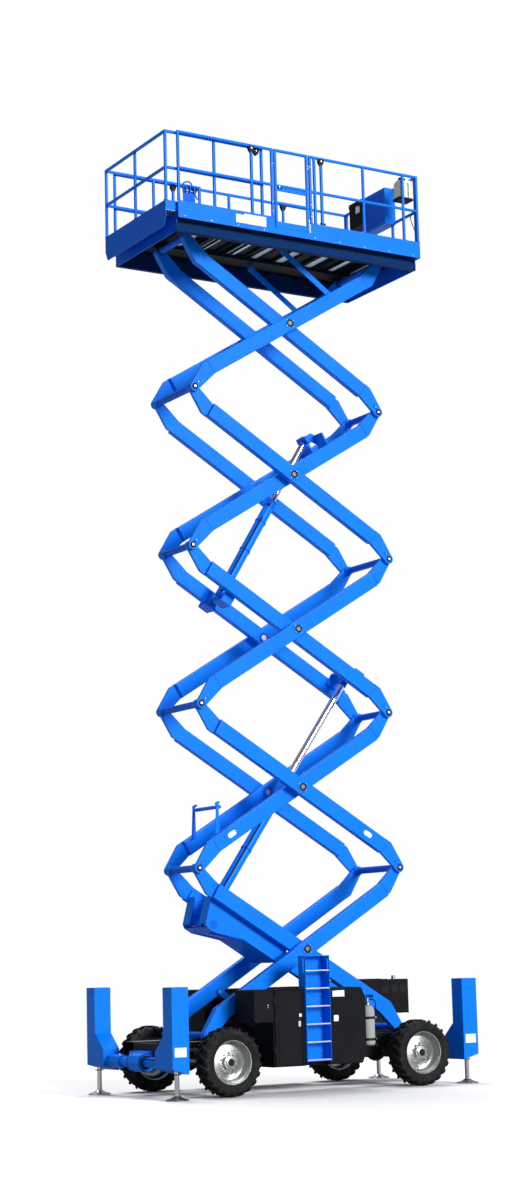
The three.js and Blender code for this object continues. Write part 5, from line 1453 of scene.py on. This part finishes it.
def add_deck():
    front, rear = DECK_X
    under = DECK - 0.004
    shape = Shape(soft=0.002)
    deck_floor(shape)
    for side in (-1, 1):
        deck_side(shape, side)
    # end boards
    shape.box((rear - 0.012, -EDGE_Y, TOE_LOW), (rear, EDGE_Y, TOE_TOP), BLUE)
    shape.box((rear - 0.060, -0.86, 11.004), (rear - 0.048, 0.86, under), BLUE_DEEP)
    shape.box((front, -0.86, 11.004), (front + 0.012, 0.86, under), BLUE_DEEP)
    for side in (-1, 1):
        shape.slab(side, (rear - 0.050, rear - 0.011), (0.79, 0.914), (11.172, 11.256), BLACK_STEEL)
    # lines clipped under the near edge
    for y, material in ((-0.70, BLACK_STEEL), (-0.675, STEEL), (-0.655, BLACK_STEEL)):
        shape.pipe([(-1.80, y, 11.238), (1.70, y, 11.238)], 0.007, material, 8)
    for k in range(8):
        x = -1.7 + k * 0.46
        shape.box((x - 0.012, -0.712, 11.227), (x + 0.012, -0.644, 11.246), STEEL)
    # blank plates and rivets on the near toe board
    for x, low, high in ((-1.030, 11.236, 11.352), (-0.905, 11.352, 11.372)):
        shape.box((x, -0.9158, low), (-0.565, -0.9149, high), CREAM, soft=0.0003)
    for k in range(10):
        x = front + 0.10 + k * 0.40
        if not -0.45 < x < 0.15:
            shape.bolt((x, -EDGE_Y, 11.20), NEAR, 0.006, 0.0008)
    shape.skin("platform_deck")


add_deck()


# ---------------------------------------------------------------- guard rails
HALF_TUBE = TUBE / 2
HINGE_Z = DECK + 1.05


def post(shape, x, y):
    """A rail post with its foot plate."""
    half, low = HALF_TUBE, TOE_TOP + 0.0003
    shape.box((x - half, y - half, low), (x + half, y + half, TOP_RAIL[1]), BLUE)
    low, high = (x - half - 0.006, y - half, low), (x + half + 0.006, y + half, low + 0.006)
    shape.box(low, high, BLUE_DEEP, soft=0.001)


def rail_x(shape, x0, x1, y):
    """The top and the middle rail of a side."""
    for low, high in (TOP_RAIL, MID_RAIL):
        shape.box((x0, y - HALF_TUBE, low), (x1, y + HALF_TUBE, high), BLUE)


def lock_pin(shape, x, z):
    """A pin with its pull ring, on the inner face of the near rail."""
    y = HALF_TUBE - RAIL_Y
    shape.rod((x, y, z), (x, y + 0.028, z), 0.006, STEEL, 14)
    shape.ring((x, y + 0.028, z - 0.012), ACROSS, 0.012, 0.002, STEEL, 20, 6)


def folding_hinge(shape, x, y, side):
    """The black bracket a folding rail turns on: two plates and a pivot."""
    z, half = HINGE_Z, HALF_TUBE
    outline = [
        (x - 0.045, z + 0.025), (x + 0.04, z + 0.025), (x + 0.04, z - 0.02), (x + 0.015, z - 0.065),
        (x - 0.018, z - 0.065), (x - 0.045, z - 0.02),
    ]
    for back, inner, outer in ((1, -0.004, 0.0001), (-1, 0.0005, -0.0045)):
        face = y + back * side * half
        span = sorted((face + side * inner, face + side * outer))
        shape.prism(outline, span, "y", BLACK_STEEL, soft=0.001)
    shape.disc((x, y + side * (half - 0.0033), z - 0.005), (0, side, 0), 0.011, 0.004, STEEL, 18)


def dots(shape, x, heights):
    """Small white spots on a gate post's outer face."""
    for height in heights:
        shape.disc((x, -EDGE_Y, DECK + height), NEAR, 0.007, 0.0008, WHITE, 16)


def add_near_rails():
    front, near = DECK_X[0] + HALF_TUBE, -RAIL_Y
    gate_posts = (GATE_X[0] - HALF_TUBE, GATE_X[1] + HALF_TUBE)
    shape = Shape(soft=0.011)
    rail_x(shape, DECK_X[0], GATE_X[0], near)
    for x in (front, -0.765, gate_posts[0]):
        post(shape, x, near)
    folding_hinge(shape, -0.765, near, -1)
    dots(shape, gate_posts[0], (0.88, 0.35, 0.22))
    lock_pin(shape, front + 0.06, DECK + 0.53)
    # the hook plate of the extension's lock, inside the rail
    low, high = (-1.80, -0.875, TOE_TOP + 0.01), (-1.62, -0.862, TOE_TOP + 0.13)
    shape.box(low, high, BLUE_DEEP, soft=0.003)
    shape.skin("near_front_guard_rail", smooth=40)

    shape = Shape(soft=0.011)
    rail_x(shape, GATE_X[1], DECK_X[1], near)
    for x in (gate_posts[1], 0.225, 0.335, 1.015, 1.675, 1.905):
        post(shape, x, near)
    folding_hinge(shape, 0.335, near, -1)
    dots(shape, gate_posts[1], (0.93, 0.40, 0.24))
    low, high = (0.29, -0.9149, TOE_TOP + 0.004), (0.38, -0.905, TOE_TOP + 0.03)
    shape.box(low, high, BLACK_STEEL, soft=0.002)
    lock_pin(shape, 1.83, DECK + 0.5)
    handle = [(x, -0.868, DECK + height) for x, height in ((1.875, 0.56), (1.80, 0.50), (1.87, 0.33))]
    shape.pipe(handle, 0.006, BLACK_STEEL, 10, 0.02)
    shape.skin("near_rear_guard_rail", smooth=40)


def add_other_rails():
    shape = Shape(soft=0.011)
    rail_x(shape, *DECK_X, RAIL_Y)
    for x in (DECK_X[0] + HALF_TUBE, -0.965, -0.065, 0.835, 1.905):
        post(shape, x, RAIL_Y)
    for x in (-0.965, 0.835):
        folding_hinge(shape, x, RAIL_Y, 1)
    shape.skin("far_guard_rail", smooth=40)

    shape = Shape(soft=0.011)
    corner = RAIL_Y - HALF_TUBE - 0.0003
    for low, high in (TOP_RAIL, MID_RAIL):
        shape.box((1.886, -corner, low), (1.924, corner, high), BLUE)
    for y in (HALF_TUBE - corner, -0.30, 0.30, corner - HALF_TUBE):
        post(shape, 1.905, y)
    shape.skin("rear_guard_rail", smooth=40)


def add_gate():
    half, near = HALF_TUBE, -RAIL_Y
    x0, x1 = -0.415, 0.120
    foot = DECK + 0.006
    shape = Shape(soft=0.010)
    rail_x(shape, x0, x1, near)
    for x in (x0 + half, x1 - half):
        shape.box((x - half, near - half, foot), (x + half, near + half, TOP_RAIL[1]), BLUE)
    shape.box((x0, near - half, DECK + 0.330), (x1, near + half, DECK + 0.368), BLUE)
    for low, high in ((foot, DECK + 0.090), (DECK + 0.519, MID_RAIL[0] + 0.001)):
        shape.box((x0, near - 0.010, low), (x1, near + 0.010, high), BLUE, soft=0.002)
    shape.box((0.119, -0.901, DECK + 0.90), (0.1342, -0.891, DECK + 0.94), BLUE, soft=0.0015)
    # the latch: a dark bolt housing with its slider, and the spring hinge's barrels
    low, high = (x0 + 0.045, -0.9135, DECK + 0.545), (x0 + 0.115, -0.905, DECK + 0.60)
    shape.box(low, high, BLACK_STEEL, soft=0.002)
    low, high = (x0 + 0.068, -0.9149, DECK + 0.555), (x0 + 0.082, -0.910, DECK + 0.59)
    shape.box(low, high, STEEL, soft=0.001)
    x, y = x1 - 0.006, near - half + 0.0005
    for z in (DECK + 0.15, DECK + 0.92):
        shape.rod((x, y, z - 0.035), (x, y, z + 0.035), 0.0055, STEEL, 16)
    shape.skin("gate", smooth=40)


add_near_rails()
add_other_rails()
add_gate()


# ---------------------------------------------------------------- extension
EXTENSION_X, EXTENSION_Y = (-2.056, -0.556), 0.858


def add_extension_deck():
    front, rear = EXTENSION_X
    y = EXTENSION_Y
    floor = DECK + 0.0003
    shape = Shape(soft=0.002)
    shape.box((front + 0.001, -y, floor), (rear, y, DECK + 0.006), TREAD, soft=0.0008)
    bottom = TOP_PIN - 0.065
    half = [(y, bottom + 0.12), (y, TOE_TOP)]
    board = [(-a, b) for a, b in half[::-1]] + [(0.06 - y, bottom), (y - 0.06, bottom)] + half
    shape.prism(board, (front, front + 0.012), "x", BLUE_DEEP)
    for side in (-1, 1):
        shape.slab(side, (front + 0.001, rear), (y - 0.020, y), (floor, TOE_TOP), BLUE, soft=0.004)
        edge, z = side * (y - 0.010), TOE_TOP - 0.0105
        shape.rod((front + 0.004, edge, z), (rear, edge, z), 0.0105, BLUE, 16)
    # the roller housings, and the strip at the front board's foot
    for side in (-1, 1):
        x, z = (rear - 0.12, rear - 0.02), (DECK + 0.006, DECK + 0.05)
        shape.slab(side, x, (y - 0.055, y - 0.018), z, BLACK_STEEL, soft=0.004)
    low, high = (front + 0.0115, -0.80, DECK + 0.006), (front + 0.020, 0.80, DECK + 0.03)
    shape.box(low, high, BLACK_STEEL)
    shape.skin("extension_deck")


def add_extension_rail():
    front, rear = EXTENSION_X
    half, line = HALF_TUBE, EXTENSION_Y - HALF_TUBE
    shape = Shape(soft=0.010)
    for side in (-1, 1):
        y = side * line
        rail_x(shape, front, rear, y)
        for x in (front + half, front + 0.75, rear - half):
            post(shape, x, y)
        folding_hinge(shape, rear - 0.10, y, side)
    for low, high in (TOP_RAIL, MID_RAIL):
        shape.box((front, -line, low), (front + TUBE, line, high), BLUE)
    post(shape, front + half, 0)
    # the push handle, the lock lever and its plates behind the near corner
    y, z = 0.06 - line, TOE_TOP
    handle = [
        (front + 0.30, 0.022 - line, z + 0.06), (front + 0.30, y, z + 0.30), (front + 0.42, y, z + 0.34),
        (front + 0.52, y, z + 0.10),
    ]
    shape.pipe(handle, 0.010, BLUE_DEEP, 12, 0.06, 6)
    for dx in (0.34, 0.40, 0.46):
        low, high = (front + dx, 0.025 - line, z + 0.02), (front + dx + 0.012, 0.10 - line, z + 0.26)
        shape.box(low, high, BLUE, soft=0.003)
    start, end = (front + 0.33, 0.065 - line, z + 0.20), (front + 0.49, 0.065 - line, z + 0.20)
    shape.rod(start, end, 0.012, STEEL, 20)
    shape.ring((front + 0.40, 0.075 - line, z + 0.22), ACROSS, 0.055, 0.007, BLACK_STEEL, 28)
    shape.skin("extension_guard_rail", smooth=40)


add_extension_deck()
add_extension_rail()


# ---------------------------------------------------------------- boxes on the platform
def add_control_box():
    low, high = low_high("control_box")
    x0, y0, z0 = low
    x1, y1, z1 = high
    shape = Shape(soft=0.010)
    a, b = (x0 + 0.012, y0 + 0.004, z0 + 0.035), (x1 - 0.012, y1 - 0.01, z1 - 0.075)
    shape.box(a, b, CREAM, soft=0.012)
    top = [
        (y0 + 0.004, z1 - 0.08), (y1 - 0.01, z1 - 0.08), (y1 - 0.03, z1 - 0.045), (y0 + 0.02, z1 - 0.012),
        (y0 + 0.004, z1 - 0.03),
    ]
    shape.prism(top, (x0 + 0.012, x1 - 0.012), "x", CREAM, soft=0.005)
    shape.box((x0, y0, z0), (x1, y1, z0 + 0.038), BLACK, soft=0.006)
    shape.box((x0 + 0.002, y0, z1 - 0.03), (x0 + 0.11, y0 + 0.03, z1), BLACK, soft=0.005)
    a, b = (x0 + 0.145, y0 + 0.0015, z0 + 0.04), (x0 + 0.158, y0 + 0.02, z1 - 0.06)
    shape.box(a, b, BLACK, soft=0.002)
    # the joystick in its boot, and the switches
    stick = (x0 + 0.16, (y0 + y1) / 2, z1 - 0.07)
    shape.turned([(0.026, 0), (0.022, 0.015), (0.012, 0.024)], stick, UP, RUBBER, 24)
    shape.turned([(0.012, 0.02), (0.016, 0.045), (0.015, 0.066), (0.008, 0.069)], stick, UP, BLACK, 24)
    for k in range(3):
        spot = (x0 + 0.045 + 0.032 * k, y1 - 0.045, z1 - 0.063)
        shape.turned([(0.010, 0), (0.010, 0.012), (0.007, 0.014)], spot, (0, 0.35, 0.94), BLACK_STEEL, 20)
    shape.skin("control_box")


def add_tool_box():
    low, high = low_high("tool_box")
    x0, y0, z0 = low
    x1, y1, z1 = high
    shape = Shape(soft=0.02)
    shape.box((x0 + 0.004, y0 + 0.003, z0), (x1 - 0.006, y1 - 0.003, z1 - 0.05), BLACK, soft=0.030)
    shape.box((x0, y0, z1 - 0.085), (x1, y1, z1), BLACK, soft=0.022)
    a, b = (x0 + 0.0005, y0 + 0.07, z0 + 0.20), (x0 + 0.006, y0 + 0.17, z0 + 0.30)
    shape.box(a, b, WHITE, soft=0.0005)
    for y in (y0 + 0.09, y1 - 0.09):
        shape.box((x0, y - 0.018, z1 - 0.11), (x0 + 0.012, y + 0.018, z1 - 0.05), BLACK_STEEL, soft=0.003)
    for y in (y0 + 0.06, y1 - 0.06):
        shape.box((x1 - 0.02, y - 0.02, z1 - 0.16), (x1, y + 0.02, z1 - 0.09), STEEL, soft=0.002)
    shape.skin("tool_box")


def add_document_box():
    low, high = low_high("document_box")
    x0, y0, z0 = low
    x1, y1, z1 = high
    shape = Shape(soft=0.004)
    shape.box((x0 + 0.003, y0, z0), (x1, y1, z1), BLUE, soft=0.006)
    shape.box((x0, y0 + 0.025, z0 + 0.05), (x0 + 0.004, y1 - 0.16, z1 - 0.05), BLUE_DEEP, soft=0.001)
    shape.box((x0, y1 - 0.14, z0 + 0.04), (x0 + 0.004, y1 - 0.02, z1 - 0.05), BLUE_DEEP, soft=0.001)
    shape.skin("document_box")


add_control_box()
add_tool_box()
add_document_box()


# ---------------------------------------------------------------- the view layer brought up to date
bpy.context.view_layer.update()
